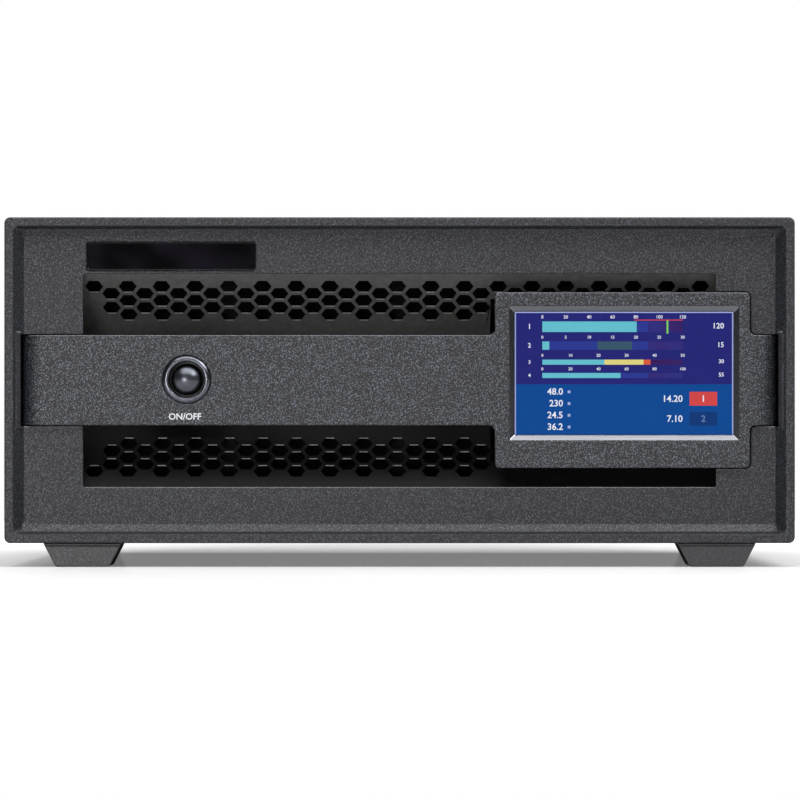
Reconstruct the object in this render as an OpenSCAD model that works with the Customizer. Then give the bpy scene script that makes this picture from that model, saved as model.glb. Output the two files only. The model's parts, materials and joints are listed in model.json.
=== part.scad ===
// Desktop linear amplifier: a framed front with two air intakes, a band with one button and a display,
// and behind it a radio deck on a heatsink, a power supply, two fans and the rear sockets.
// +X is right, +Y goes to the back, +Z is up. The origin is on the floor under the middle of the whole box.

/* [Case] */
// Width of the front frame
case_w = 343; // [340:1:350]
// Height of the case without its feet
case_h = 141.4; // [141:0.2:146]
// Depth of the case from the front rim to the rear edge
case_d = 385; // [384:1:400]
// How far the ground stud stands out behind the case
rear_reach = 15; // [15:0.5:18]
// Height of the case above the floor
foot_h = 10.2; // [9:0.1:12]
// Thickness of the folded sheet metal
sheet_t = 1.5; // [1.2:0.1:1.6]

/* [Front frame] */
// Depth of the frame from front to back
frame_d = 24; // [22:1:26]
// Radius of the frame's outer corners
frame_r = 2.6; // [2:0.1:4]
// Width of the flat rim
rim_w = 3.8; // [3.4:0.1:4.4]
// Width of the sloped wall inside the rim
slope_w = 4.4; // [4:0.1:5]
// Depth of the recessed face behind the rim
face_d = 6.5; // [6:0.1:7]
// Thickness of the recessed face
face_t = 3; // [2.5:0.1:3]

/* [Band and display] */
// Height of the raised band
band_h = 39.2; // [38:0.2:40]
// Depth of the band's front behind the rim
band_d = 3.8; // [3.5:0.1:4]
// Radius of the band's rolled ends
roll_r = 10; // [8:0.5:10]
// Width of the display bezel
bezel_w = 110.8; // [110:0.2:112]
// Height of the display bezel
bezel_h = 76.3; // [75:0.1:77]
// Place of the bezel's centre across the front
bezel_x = 96.8; // [96:0.1:97]
// Width of the screen's lit area
screen_w = 95; // [94:0.5:96]
// Height of the screen's lit area
screen_h = 53.4; // [53:0.1:54]

/* [Intakes] */
// Width of the two windows
window_w = 275; // [274:0.5:276]
// Reach of the windows above and below the middle of the case
window_reach = 46.4; // [46:0.1:47]
// Width across the flats of one hexagonal hole
hex_flats = 7; // [6:0.05:7.1]
// Distance between the centres of two holes
hex_pitch = 8.48; // [8.44:0.01:8.5]

/* [Button] */
// Place of the button's centre across the front
button_x = -92.5; // [-100:0.5:-85]
// Radius of the domed cap
cap_r = 6.8; // [6.4:0.1:6.9]
// How far the button travels
button_travel = 2; // [1.5:0.1:2]

/* [Fans] */
// Width of one square fan
fan_w = 80; // [79:1:81]
// Place of the left fan's axis
fan_left_x = -35; // [-36:1:-35]
// Place of the right fan's axis
fan_right_x = 47; // [47:1:48]

/* [Hidden] */
$fn = 48;

// Case
y_front = -(case_d + rear_reach) / 2;
y_rear = y_front + case_d;
z_base = foot_h;
z_top = foot_h + case_h;
z_mid = foot_h + case_h / 2;
frame_wall = 3;
skin_gap = 0.3;
skin_step = 0.6;
skin_w = case_w - 2 * skin_step;
skin_r = 3;
y_skin = y_front + frame_d + skin_gap;
floor_z = z_base + skin_step;
floor_top = floor_z + sheet_t;
flange_x = skin_w / 2 - sheet_t - 0.2;
flange_top = floor_z + 21;
panel_in = y_rear - 1 - sheet_t;
panel_out = y_rear - 1;
panel_w = 2 * (flange_x - sheet_t) - 0.6;
panel_low = floor_top + 0.2;
panel_high = z_top - skin_step - sheet_t - 0.3;
screw_r = 1.5;
hole_play = 0.15;
thread_play = 0.02;
foot_front_x = 137.6;
foot_rear_x = 149;
foot_len = 44;
foot_pad_start = 24;
foot_screw_in = 34;
foot_screw_r = 2;
foot_in = [0.8, 3];
cover_screw_z = 22;
cover_screw_ys = [y_front + 60, y_front + 155, y_rear - 115, y_rear - 18];
top_screw_xs = [-140, 0, 140];
top_screw_y = y_rear - 8.5;
vent_count = 18;
vent_start = -130;
vent_pitch = 8;
vent_w = 3.4;
vent_low = 66;
vent_h = 26;
vent_row = 34;

// Front
slot_x = 164.6;
slot_play = 0.4;
lip_x = 166.5;
lip_out_d = 1.77;
lip_in_d = 3.4;
fascia_t = 3;
fascia_x = slot_x - 0.2;
fillet_r = 2;
bezel_r = 2;
screen_x = bezel_x + 0.8;
screen_z = z_mid + 3.1;
screen_bevel = 2.8;
boss_x = 156;
boss_z = 58;
boss_r = 4.5;
subpanel_d = 38.5;
post_places = [-145, -60, 20];
post_r = 3.5;
lens_d = band_d + fascia_t + 0.1;
lens_t = 1.2;
module_t = 4;
carrier_d = 17;
carrier_post = 27;
carrier_t = 1.2;
badge_x = -99.3;
badge_z = z_mid + 53.85;
badge_w = 73.2;
badge_h = 12.1;

// Intake sheets, measured from the middle of the case outwards
grille_t = 0.8;
grille_d = face_d + face_t + 0.2;
grille_start = window_reach + 1;
grille_run = subpanel_d - grille_t - grille_d;
grille_x = window_w / 2 + 2.5;
hex_cols = 37;
hex_first_x = -133.2;
hex_step = hex_pitch * cos(30);
hex_r = hex_flats / 2 / cos(30);
upper_first = 40.8;
lower_first = 39.3;
notch_x = bezel_x - bezel_w / 2 - 1.6;
notch_z = bezel_h / 2 - 2.6;
cheek_low = bezel_h / 2 + 0.3;

// Button
button_z = z_mid + 0.3;
ring_hole_r = 10.6;
ring_bore_r = 7.9;
ring_crown = [8.4, 9.2];
guide_r = cap_r + 0.1;
collar_r = 9.4;
cap_top_d = 2.4;
cap_dome_h = 4.1;
cap_skirt_d = 12;
stem_r = 2;
stem_d = 22;
switch_d = 18.6;
switch_depth = 7.4;
board_t = 1.6;

// Radio deck
sink_x = [-76, 88];
sink_y = [-120, 110];
sink_fin_low = 16;
sink_base_low = 62;
sink_top = 70;
sink_pitch = 6;
fin_t = 1.6;
spreader_top = sink_top + 5;
filter_x = [96, 164];
filter_y = [-125, 150];
filter_low = 24;
filter_top = filter_low + board_t;

// Supply
supply_x = [-163, -84];
supply_y = [-128, 80];
supply_top = 100;
supply_board_low = 20;
supply_board_top = supply_board_low + board_t;

// Fans
fan_t = 25;
fan_z = 56;
fan_in = panel_in - fan_t;
fan_bore_r = 38;
fan_hole = 35.75;
fan_hub_r = 18;
fan_shaft_r = 2;
fan_blades = 7;
guard_rings = [10, 17.5, 25, 32.5, 38.5];

duct_top = fan_z + fan_w / 2 + 2;

// Rear
board_z = 112;
board_top = board_z + board_t;
jack_z = board_top + 8;
lan_x = -52;
port_x = -5;
port_screw = 16.65;
key_xs = [40, 54, 68, 82];
key_r = 4.15;
key_reach = 9;
socket_xs = [116, 149];
socket_zs = [60, 106];
socket_r = 7.94;
socket_flange_t = 1.6;
socket_end = y_rear + 13;
socket_screw = 9.15;
ground_x = 132;
ground_z = 27;
stud_r = 3;
stud_neck_r = 2.5;
nut_r = 5.77;
nut_t = 5;
washer_t = 1.2;
inlet_x = -128;
inlet_z = 44;
inlet_screw = 23;
inlet_cavity = [29.6, 21];
switch_x = -128;
switch_z = 98;
rocker_pivot_y = panel_out - 3;
rocker_tilt = 10;
pin_places = [[-6.5, -4], [6.5, -4], [0, 4]];
ribbon_w = 20;
ribbon_z = 140;
ribbon_ys = [y_front + 48, y_front + 304];

// Where a foot's screw stands, at the front with side 1 and at the back with side -1
function foot_x(side) = side > 0 ? foot_front_x : foot_rear_x;
function foot_screw_y(side) =
    side > 0 ? y_front + foot_in[0] + foot_screw_in : y_rear - foot_in[1] - foot_screw_in;

// Shapes used throughout

// Rounded rectangle about its centre
module rrect(w, h, r) {
    square([w - 2 * r, h], center = true);
    square([w, h - 2 * r], center = true);
    for (sx = [-1, 1], sz = [-1, 1])
        translate([sx * (w / 2 - r), sz * (h / 2 - r)]) circle(r);
}

// Outline standing on zb, with only its upper corners rounded
module arch(w, zb, zt, r) {
    translate([-w / 2, zb]) square([w, zt - r - zb]);
    translate([r - w / 2, zb]) square([w - 2 * r, zt - zb]);
    for (s = [-1, 1]) translate([s * (w / 2 - r), zt - r]) circle(r);
}

// An XZ outline extruded between two depths behind the rim
module plate(d0, d1, x = 0, z = z_mid) {
    translate([x, y_front + d1, z]) rotate([90, 0, 0]) linear_extrude(d1 - d0) children();
}

// An XZ outline extruded between two places along Y
module run(ya, yb, x = 0, z = 0) {
    translate([x, yb, z]) rotate([90, 0, 0]) linear_extrude(yb - ya) children();
}

// A box from its low and high corners
module block(low, high) {
    translate(low) cube(high - low);
}

// A round bar along Y
module rod(r, x, z, ya, yb) {
    translate([x, ya, z]) rotate([-90, 0, 0]) cylinder(r = r, h = yb - ya);
}

// A section turned about a line along Y at (x, z), with its own zero at y
module turned_y(x, z, y) {
    translate([x, y, z]) rotate([-90, 0, 0]) rotate_extrude() children();
}

// A pan head screw along Y with its head at y, pointing along dir
module pan_screw(x, z, y, length, dir = 1, r = screw_r) {
    translate([x, y, z]) rotate([dir * -90, 0, 0]) {
        translate([0, 0, -1.8]) difference() {
            cylinder(r = r * 1.85, h = 1.8);
            translate([0, 0, -0.1]) cylinder(r = r * 0.75, h = 1.1, $fn = 6);
        }
        cylinder(r = r, h = length);
    }
}

// Front

module recess_pocket() {
    inner_w = case_w - 2 * rim_w;
    inner_h = case_h - 2 * rim_w;
    hull() {
        plate(-1, 0) rrect(inner_w, inner_h, 3.6, $fn = 32);
        plate(face_d - 0.01, face_d)
            rrect(inner_w - 2 * slope_w, inner_h - 2 * slope_w, 1.5, $fn = 32);
    }
}

module cross_opening() {
    square([2 * slot_x, band_h + 2 * slot_play], center = true);
    rrect(window_w, 2 * window_reach, 1);
    translate([bezel_x, 0]) bezel_outline(slot_play);
}

module end_lip() {
    lip_h = band_h + 2 * slot_play + 2;
    for (s = [-1, 1]) scale([s, 1, 1]) translate([0, y_front, z_mid - lip_h / 2])
        linear_extrude(lip_h)
            polygon([[lip_x, lip_out_d], [slot_x, lip_in_d], [slot_x, face_d + face_t],
                     [case_w / 2 - frame_wall, face_d + face_t], [case_w / 2 - frame_wall, lip_out_d]]);
}

module front_frame() {
    color("#3c3e43") difference() {
        union() {
            difference() {
                plate(0, frame_d) rrect(case_w, case_h, frame_r);
                recess_pocket();
                plate(face_d + face_t, frame_d + 1)
                    rrect(case_w - 2 * frame_wall, case_h - 2 * frame_wall, 1);
            }
            end_lip();
            for (sx = [-1, 1], sz = [-1, 1])
                rod(boss_r, sx * boss_x, z_mid + sz * boss_z, y_front + face_d + 0.5,
                    y_front + subpanel_d);
        }
        plate(-1, face_d + face_t + 1) cross_opening();
        for (sx = [-1, 1], sz = [-1, 1])
            rod(screw_r + thread_play, sx * boss_x, z_mid + sz * boss_z, y_front + 20,
                y_front + subpanel_d + 1);
        plate(face_d, face_d + 0.5, badge_x, badge_z) rrect(badge_w + 0.6, badge_h + 0.6, 1.4);
    }
}

// One quarter of the bezel's outline grown by play: a fillet up from the band, then the outer corner
function bezel_quarter(play) = concat(
    [for (a = [0 : 15 : 90])
        [bezel_w / 2 + fillet_r - (fillet_r - play) * sin(a),
         band_h / 2 + fillet_r - (fillet_r - play) * cos(a)]],
    [for (a = [0 : 15 : 90])
        [bezel_w / 2 - bezel_r + (bezel_r + play) * cos(a),
         bezel_h / 2 - bezel_r + (bezel_r + play) * sin(a)]]);

module bezel_outline(play = 0) {
    quarter = bezel_quarter(play);
    last = len(quarter) - 1;
    polygon([for (k = [0 : 3], i = [0 : last])
        let (p = quarter[k % 2 == 0 ? i : last - i])
            [(k == 0 || k == 3 ? 1 : -1) * p[0], (k < 2 ? 1 : -1) * p[1]]]);
}

// The band seen from above: a flat front whose ends roll back
module band_section() {
    depth = roll_r + fascia_t;
    difference() {
        translate([0, depth]) rrect(2 * fascia_x, 2 * depth, roll_r);
        translate([0, depth])
            rrect(2 * (fascia_x - fascia_t), 2 * (depth - fascia_t), roll_r - fascia_t);
        translate([-case_w, roll_r + 0.5]) square([2 * case_w, 3 * depth]);
    }
}

module center_fascia() {
    color("#3f4146") difference() {
        union() {
            translate([0, y_front + band_d, z_mid - band_h / 2])
                linear_extrude(band_h) band_section();
            plate(band_d, band_d + fascia_t, bezel_x) bezel_outline();
        }
        plate(0, frame_d, screen_x, screen_z) square([screen_w, screen_h], center = true);
        hull() {
            plate(band_d - 0.1, band_d, screen_x, screen_z)
                square([screen_w + 2 * screen_bevel, screen_h + 2 * screen_bevel], center = true);
            plate(band_d + 2.4, band_d + 2.41, screen_x, screen_z)
                square([screen_w, screen_h], center = true);
        }
        rod(collar_r + 0.05, button_x, button_z, y_front, y_front + frame_d);
        rod(ring_hole_r, button_x, button_z, y_front, y_front + band_d + 1.4);
        for (x = post_places)
            rod(screw_r + thread_play, x, z_mid, y_front + band_d + 1.2, y_front + frame_d);
    }
}

// The sheet drawn flat: X across, Y down the slope from the outer edge
module grille_flat(first, last_x) {
    start = (grille_start - first) * sqrt(2);
    difference() {
        translate([-grille_x, 0]) square([2 * grille_x, grille_run * sqrt(2)]);
        for (i = [0 : hex_cols - 1], k = [0 : 2 - i % 2]) let (x = hex_first_x + i * hex_step)
            if (x < last_x && (k == 0 || (i > 0 && x < notch_x - hex_r)))
                translate([x, start + hex_pitch * (k + i % 2 / 2)]) circle(hex_r, $fn = 6);
        translate([notch_x, (grille_start - notch_z) * sqrt(2)])
            square([2 * grille_x, 2 * grille_run]);
    }
}

// A closing cheek at x, whose sheet ends at low
module cheek(x, low) {
    translate([x, 0, 0]) rotate([90, 0, 90]) linear_extrude(grille_t)
        polygon([[y_front + grille_d, grille_start], [y_front + grille_d, low],
                 [y_front + grille_d + grille_start - low, low]]);
}

// One intake about the middle of the case: the sloped sheet, its two flanges and its cheeks
module grille(first, last_x) {
    slope_end = grille_start - grille_run;
    translate([0, y_front + grille_d, grille_start]) rotate([-45, 0, 0])
        linear_extrude(grille_t) grille_flat(first, last_x);
    translate([-grille_x, y_front + grille_d, grille_start])
        cube([2 * grille_x, grille_t, 9]);
    translate([-grille_x, y_front + subpanel_d - grille_t, slope_end - 6])
        cube([notch_x + grille_x - 3, grille_t, 6 + grille_t]);
    cheek(-grille_x, slope_end);
    cheek(grille_x - grille_t, cheek_low);
}

module upper_grille() {
    color("#2a2b2a") translate([0, 0, z_mid]) grille(upper_first, case_w);
}

module lower_grille() {
    color("#2a2b2a") translate([0, 0, z_mid]) mirror([0, 0, 1]) grille(lower_first, notch_x - hex_r);
}

module badge_plate() {
    color("#15151a") plate(face_d - 0.6, face_d + 0.5, badge_x, badge_z)
        rrect(badge_w, badge_h, 1.1);
}

module button_bezel() {
    color("#24252a") turned_y(button_x, button_z, y_front)
        polygon([[ring_hole_r - 0.1, band_d + 0.9], [ring_hole_r - 0.1, band_d + 1.4],
                 [collar_r, band_d + 1.4], [collar_r, cap_skirt_d - 0.5], [guide_r, cap_skirt_d - 0.5],
                 [guide_r, 9], [ring_bore_r, 9], [ring_bore_r, band_d + 0.5],
                 [ring_crown[0], band_d - 0.1], [ring_crown[1], band_d - 0.1]]);
}

module button_cap() {
    dome_r = (cap_r * cap_r + cap_dome_h * cap_dome_h) / (2 * cap_dome_h);
    color("#2b2c31") {
        intersection() {
            translate([button_x, y_front + cap_top_d + dome_r, button_z]) sphere(dome_r);
            rod(cap_r, button_x, button_z, y_front, y_front + cap_top_d + cap_dome_h);
        }
        rod(cap_r, button_x, button_z, y_front + cap_top_d + cap_dome_h, y_front + cap_skirt_d - 0.4);
        rod(cap_r + 1.7, button_x, button_z, y_front + cap_skirt_d - 0.4, y_front + 13);
        rod(stem_r, button_x, button_z, y_front + 13, y_front + stem_d);
    }
}

module button_spring() {
    color("#b9bcc0") turned_y(button_x, button_z, y_front)
        translate([stem_r + 0.5, 13.05]) square([0.9, switch_d - 13.1]);
}

module button_switch() {
    color("#1b1b1d") difference() {
        plate(switch_d, switch_d + switch_depth, button_x, button_z) square(12, center = true);
        rod(stem_r + 0.1, button_x, button_z, y_front, y_front + stem_d + button_travel + 0.4);
    }
}

module button_board() {
    color("#1f5a3a") plate(switch_d + switch_depth, switch_d + switch_depth + board_t, button_x, button_z)
        square([34, 26], center = true);
}

module display_lens() {
    color("#30343c", 0.4) plate(lens_d, lens_d + lens_t, screen_x, screen_z)
        square([screen_w + 5, screen_h + 5], center = true);
}

module display_module() {
    color("#20305c") plate(lens_d + lens_t + 0.05, lens_d + lens_t + module_t, screen_x, screen_z - 0.6)
        square([104, 65], center = true);
}

module display_board() {
    low = lens_d + lens_t + module_t + 0.8;
    color("#1f5a3a") {
        plate(low, low + board_t, screen_x, screen_z - 0.6) square([102, 62], center = true);
        for (x = [-36, 0, 34])
            plate(low + board_t, low + board_t + 1.6, screen_x + x, screen_z - 17)
                square([14, 14], center = true);
    }
}

module display_carrier() {
    tray_w = bezel_w - 2;
    tray_h = bezel_h - 2;
    color("#8f9296") difference() {
        union() {
            plate(band_d + fascia_t + 0.05, carrier_d + carrier_t, bezel_x)
                square([tray_w, tray_h], center = true);
            for (x = [-carrier_post, carrier_post])
                rod(post_r, bezel_x + x, z_mid, y_front + carrier_d, y_front + subpanel_d);
        }
        plate(0, carrier_d, bezel_x) square([tray_w - 2 * carrier_t, tray_h - 2 * carrier_t], center = true);
        plate(0, frame_d, bezel_x) square([ribbon_w + 4, 8], center = true);
        for (x = [-carrier_post, carrier_post])
            rod(screw_r + thread_play, bezel_x + x, z_mid, y_front + carrier_d + 3, y_front + subpanel_d + 1);
    }
}

module front_subpanel() {
    panel_h = z_top - skin_step - sheet_t - 0.4 - floor_top;
    centre = floor_top + 0.1 + panel_h / 2 - z_mid;
    air_low = 22;
    color("#9a9da1") difference() {
        plate(subpanel_d, subpanel_d + sheet_t, 0)
            translate([0, centre]) square([2 * (flange_x - sheet_t) - 0.6, panel_h], center = true);
        for (s = [-1, 1], x = [-112.5, -37.5, 37.5, 112.5])
            plate(0, 2 * subpanel_d, x, z_mid + s * (air_low + 15)) square([68, 30], center = true);
        for (sx = [-1, 1], sz = [-1, 1])
            rod(screw_r + hole_play, sx * boss_x, z_mid + sz * boss_z, y_front, y_front + 2 * subpanel_d);
        for (x = concat(post_places, [bezel_x - carrier_post, bezel_x + carrier_post]))
            rod(screw_r + hole_play, x, z_mid, y_front, y_front + 2 * subpanel_d);
        plate(0, 2 * subpanel_d, bezel_x) square([ribbon_w + 4, 8], center = true);
    }
}

module fascia_posts() {
    back = y_front + band_d + fascia_t;
    color("#c9cbcd") {
        for (x = post_places) {
            rod(screw_r, x, z_mid, back - 1.6, back + 0.5);
            difference() {
                rod(post_r, x, z_mid, back, y_front + subpanel_d, $fn = 6);
                rod(screw_r + thread_play, x, z_mid, y_front + subpanel_d - 12, y_front + subpanel_d + 1);
            }
        }
        for (s = [-1, 1])
            rod(2.2, button_x + s * 14, button_z + s * 10, back, y_front + switch_d + switch_depth);
    }
}

module front_screws() {
    y = y_front + subpanel_d + sheet_t;
    color("#c9cbcd") {
        for (sx = [-1, 1], sz = [-1, 1]) pan_screw(sx * boss_x, z_mid + sz * boss_z, y, 12, -1);
        for (x = concat(post_places, [bezel_x - carrier_post, bezel_x + carrier_post]))
            pan_screw(x, z_mid, y, 10, -1);
    }
}

// Case

module bottom_chassis() {
    side_h = flange_top - floor_z;
    color("#3a3c40") difference() {
        union() {
            block([-flange_x, y_skin, floor_z], [flange_x, y_rear, floor_top]);
            for (s = [-1, 1])
                translate([s * (flange_x - sheet_t / 2), (y_skin + 20 + panel_in) / 2, floor_z + side_h / 2])
                    cube([sheet_t, panel_in - y_skin - 20, side_h], center = true);
            block([-150, y_front + subpanel_d + sheet_t + 0.05, floor_z],
                  [150, y_front + subpanel_d + 2 * sheet_t, floor_z + 6]);
        }
        for (sx = [-1, 1], side = [-1, 1])
            translate([sx * foot_x(side), foot_screw_y(side), 0])
                cylinder(r = foot_screw_r + hole_play, h = flange_top);
        for (s = [-1, 1], y = cover_screw_ys) side_hole(s, y, screw_r + thread_play);
        for (i = [0 : 13])
            block([-60 + i * 9, -150, 0], [-56 + i * 9, -126, flange_top]);
    }
}

// A hole through the case's side at y, on side s
module side_hole(s, y, r) {
    translate([s * (flange_x - 4), y, cover_screw_z]) rotate([0, s * 90, 0]) cylinder(r = r, h = 12);
}

module top_cover() {
    low = floor_z + 0.4;
    vent_ys = [for (i = [0 : vent_count - 1]) vent_start + i * vent_pitch];
    color("#3a3c40") difference() {
        run(y_skin, y_rear) difference() {
            arch(skin_w, low, z_top - skin_step, skin_r);
            arch(skin_w - 2 * sheet_t, low - 1, z_top - skin_step - sheet_t, skin_r - sheet_t);
        }
        for (s = [-1, 1], y = cover_screw_ys) {
            side_hole(s, y, screw_r + hole_play);
            translate([s * (skin_w / 2 + 0.01), y, cover_screw_z]) rotate([0, -s * 90, 0])
                cylinder(r1 = 3.1, r2 = screw_r + hole_play, h = 1.4);
        }
        for (x = top_screw_xs) {
            translate([x, top_screw_y, z_top - 10]) cylinder(r = screw_r + hole_play, h = 20);
            translate([x, top_screw_y, z_top - skin_step - 1.4])
                cylinder(r1 = screw_r + hole_play, r2 = 3.1, h = 1.41);
        }
        for (y = vent_ys, row = [0, 1])
            block([-case_w, y, vent_low + row * vent_row],
                  [case_w, y + vent_w, vent_low + vent_h + row * vent_row]);
    }
}

module rear_panel() {
    color("#3a3c40") difference() {
        union() {
            block([-panel_w / 2, panel_in, panel_low], [panel_w / 2, panel_out, panel_high]);
            block([-panel_w / 2, panel_in - 12, panel_high - sheet_t], [panel_w / 2, panel_out, panel_high]);
        }
        for (x = [fan_left_x, fan_right_x]) {
            rod(fan_bore_r, x, fan_z, panel_in - 1, panel_out + 1);
            for (sx = [-1, 1], sz = [-1, 1])
                rod(2.2, x + sx * fan_hole, fan_z + sz * fan_hole, panel_in - 1, panel_out + 1);
        }
        for (x = socket_xs, z = socket_zs) {
            rod(socket_r + 0.3, x, z, panel_in - 1, panel_out + 1);
            for (sx = [-1, 1], sz = [-1, 1])
                rod(screw_r + hole_play, x + sx * socket_screw, z + sz * socket_screw,
                    panel_in - 1, panel_out + 1);
        }
        rod(stud_neck_r + 2 * hole_play, ground_x, ground_z, panel_in - 1, panel_out + 1);
        run(panel_in - 1, panel_out + 1, inlet_x, inlet_z) square([34.4, 26.4], center = true);
        run(panel_in - 1, panel_out + 1, switch_x, switch_z) square([20.4, 30.4], center = true);
        run(panel_in - 1, panel_out + 1, lan_x, board_top + 6.9) square([16.6, 14.2], center = true);
        run(panel_in - 1, panel_out + 1, port_x, jack_z) square([26.4, 9.8], center = true);
        for (x = key_xs) rod(key_r + 0.25, x, jack_z, panel_in - 1, panel_out + 1);
        for (s = [-1, 1]) {
            rod(screw_r + hole_play, inlet_x + s * inlet_screw, inlet_z, panel_in - 1, panel_out + 1);
            rod(screw_r + hole_play, port_x + s * port_screw, jack_z, panel_in - 1, panel_out + 1);
        }
        for (x = top_screw_xs)
            translate([x, top_screw_y, panel_high - 5]) cylinder(r = screw_r + thread_play, h = 10);
    }
}

// A flat head screw whose head's face is at the origin, pointing down
module flat_screw(length) {
    translate([0, 0, -1.35]) difference() {
        cylinder(r1 = screw_r, r2 = 2.95, h = 1.35);
        translate([0, 0, 0.5]) cylinder(r = 1.1, h = 1, $fn = 6);
    }
    translate([0, 0, -length]) cylinder(r = screw_r, h = length - 1.34);
}

module cover_screws() {
    color("#26272a") {
        for (s = [-1, 1], y = cover_screw_ys)
            translate([s * skin_w / 2, y, cover_screw_z]) rotate([0, s * 90, 0]) flat_screw(6);
        for (x = top_screw_xs)
            translate([x, top_screw_y, z_top - skin_step]) flat_screw(6);
    }
}

module rear_screws() {
    color("#c9cbcd") {
        for (x = socket_xs, z = socket_zs, sx = [-1, 1], sz = [-1, 1])
            pan_screw(x + sx * socket_screw, z + sz * socket_screw, panel_out + socket_flange_t, 7, -1);
        for (s = [-1, 1]) {
            pan_screw(inlet_x + s * inlet_screw, inlet_z, panel_out + 3, 9, -1);
            pan_screw(port_x + s * port_screw, jack_z, panel_out + 1, 7, -1);
        }
    }
}

// One foot about its own middle, front face at y = 0
module foot(length) {
    top_half = 17;
    low_half = 11.7;
    lean = atan((top_half - low_half) / foot_h);
    corner_r = 1.5;
    tangent = corner_r / tan((90 + lean) / 2);
    difference() {
        union() {
            translate([0, length, 0]) rotate([90, 0, 0]) linear_extrude(length) {
                polygon([for (s = [1, -1], p = s > 0 ? [[top_half, foot_h], [low_half + tangent * sin(lean),
                            tangent * cos(lean)], [low_half - tangent, 0]]
                        : [[low_half - tangent, 0], [low_half + tangent * sin(lean),
                            tangent * cos(lean)], [top_half, foot_h]]) [s * p[0], p[1]]]);
                for (s = [-1, 1]) translate([s * (low_half - tangent), corner_r]) circle(corner_r);
            }
            translate([-8, foot_pad_start, 0]) cube([16, length - foot_pad_start, floor_z]);
        }
        translate([-2 * top_half, -1, -1]) cube([4 * top_half, 1.5, foot_h - 0.2]);
        translate([0, foot_screw_in, -1]) cylinder(r = foot_screw_r + hole_play, h = 20);
        translate([0, foot_screw_in, -1]) cylinder(r = 4.2, h = 6);
    }
}

module foot_at(sx, side) {
    y = side > 0 ? y_front + foot_in[0] : y_rear - foot_in[1];
    color("#3c3e43") translate([sx * foot_x(side), y, 0]) rotate([0, 0, side > 0 ? 0 : 180]) foot(foot_len);
}

module foot_front_left() { foot_at(-1, 1); }
module foot_front_right() { foot_at(1, 1); }
module foot_rear_left() { foot_at(-1, -1); }
module foot_rear_right() { foot_at(1, -1); }

module foot_screws() {
    color("#c9cbcd") for (sx = [-1, 1], side = [-1, 1])
        translate([sx * foot_x(side), foot_screw_y(side), 0]) {
            difference() {
                translate([0, 0, 2.4]) cylinder(r = 3.7, h = 2.6);
                translate([0, 0, 2.3]) cylinder(r = 1.5, h = 1.4, $fn = 6);
            }
            translate([0, 0, 4.9]) cylinder(r = foot_screw_r, h = floor_top - 2);
        }
}

// Radio deck

module heatsink() {
    width = sink_x[1] - sink_x[0];
    fins = floor((width - fin_t) / sink_pitch);
    start = sink_x[0] + (width - fins * sink_pitch - fin_t) / 2;
    color("#aeb1b5") {
        block([sink_x[0], sink_y[0], sink_base_low], [sink_x[1], sink_y[1], sink_top]);
        for (i = [0 : fins])
            block([start + i * sink_pitch, sink_y[0], sink_fin_low],
                  [start + i * sink_pitch + fin_t, sink_y[1], sink_base_low + 1]);
        for (x = [sink_x[0], sink_x[1] - 3])
            block([x, sink_y[0], floor_top], [x + 3, sink_y[1], sink_base_low + 1]);
    }
}

module heat_spreader() {
    color("#b87345") block([-40, -60, sink_top], [52, 60, spreader_top]);
}

module transistor_place(s) {
    translate([6 + s * 23, 0, spreader_top]) children();
}

module rf_board() {
    color("#1f5a3a") difference() {
        block([-70, -110, spreader_top], [82, 100, spreader_top + board_t]);
        for (s = [-1, 1]) transistor_place(s)
            translate([0, 0, 1]) cube([11, 42, 6], center = true);
    }
}

module rf_transistors() {
    color("#d9d2bd") for (s = [-1, 1]) transistor_place(s) {
        translate([-5, -20.5, 0]) cube([10, 41, 1.6]);
        translate([-4.8, -16, 1.5]) cube([9.6, 32, 3]);
    }
}

// A ferrite block with two windings through it, along Y
module ferrite(w, h, length) {
    difference() {
        translate([-w / 2, 0, 0]) cube([w, length, h]);
        for (s = [-1, 1]) rod(h / 4, s * w / 4, h / 2, -1, length + 1);
    }
}

module rf_transformers() {
    top = spreader_top + board_t;
    color("#2b2c2e") {
        translate([6, 44, top]) ferrite(52, 26, 38);
        translate([6, -84, top]) ferrite(26, 13, 18);
        translate([-45, 50, top]) ferrite(20, 12, 26);
    }
}

module air_duct() {
    duct_t = 1.2;
    color("#9a9da1") difference() {
        block([sink_x[0] - 1, sink_y[1] + 0.5, floor_top], [sink_x[1] + 1, fan_in - 0.1, duct_top]);
        block([sink_x[0] + duct_t - 1, sink_y[1] - 1, 0],
              [sink_x[1] + 1 - duct_t, fan_in + 1, duct_top - duct_t]);
    }
}

module filter_board() {
    color("#1f5a3a") {
        block([filter_x[0], filter_y[0], filter_low], [filter_x[1], filter_y[1], filter_top]);
        for (x = [filter_x[0] + 4, filter_x[1] - 4], y = [filter_y[0] + 6, 0, filter_y[1] - 6])
            translate([x, y, floor_top]) cylinder(r = 3, h = filter_low - floor_top + 0.1);
    }
}

module filter_inductors() {
    color("#b5462e") for (x = [111, 149], i = [0 : 6])
        translate([x, -105 + i * 32, filter_top + 5]) rotate_extrude()
            translate([8.4, 0]) circle(4.8);
}

module filter_relays() {
    color("#22242a") for (i = [0 : 6])
        block([125, -116 + i * 32, filter_top], [135, -94 + i * 32, filter_top + 14]);
}

module filter_capacitors() {
    color("#a8843c") for (x = [111, 149], i = [0 : 5])
        block([x - 6, -91 + i * 32, filter_top], [x + 6, -87 + i * 32, filter_top + 11]);
}

module rf_shield() {
    color("#9a9da1") block([sink_x[1] + 2, -118, floor_top], [sink_x[1] + 3.2, 100, board_z - 1]);
}

// Fans

// Children are drawn about the fan's axis, with Z from the inlet side to the outlet
module at_fan(x) {
    translate([x, fan_in, fan_z]) rotate([-90, 0, 0]) children();
}

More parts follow.
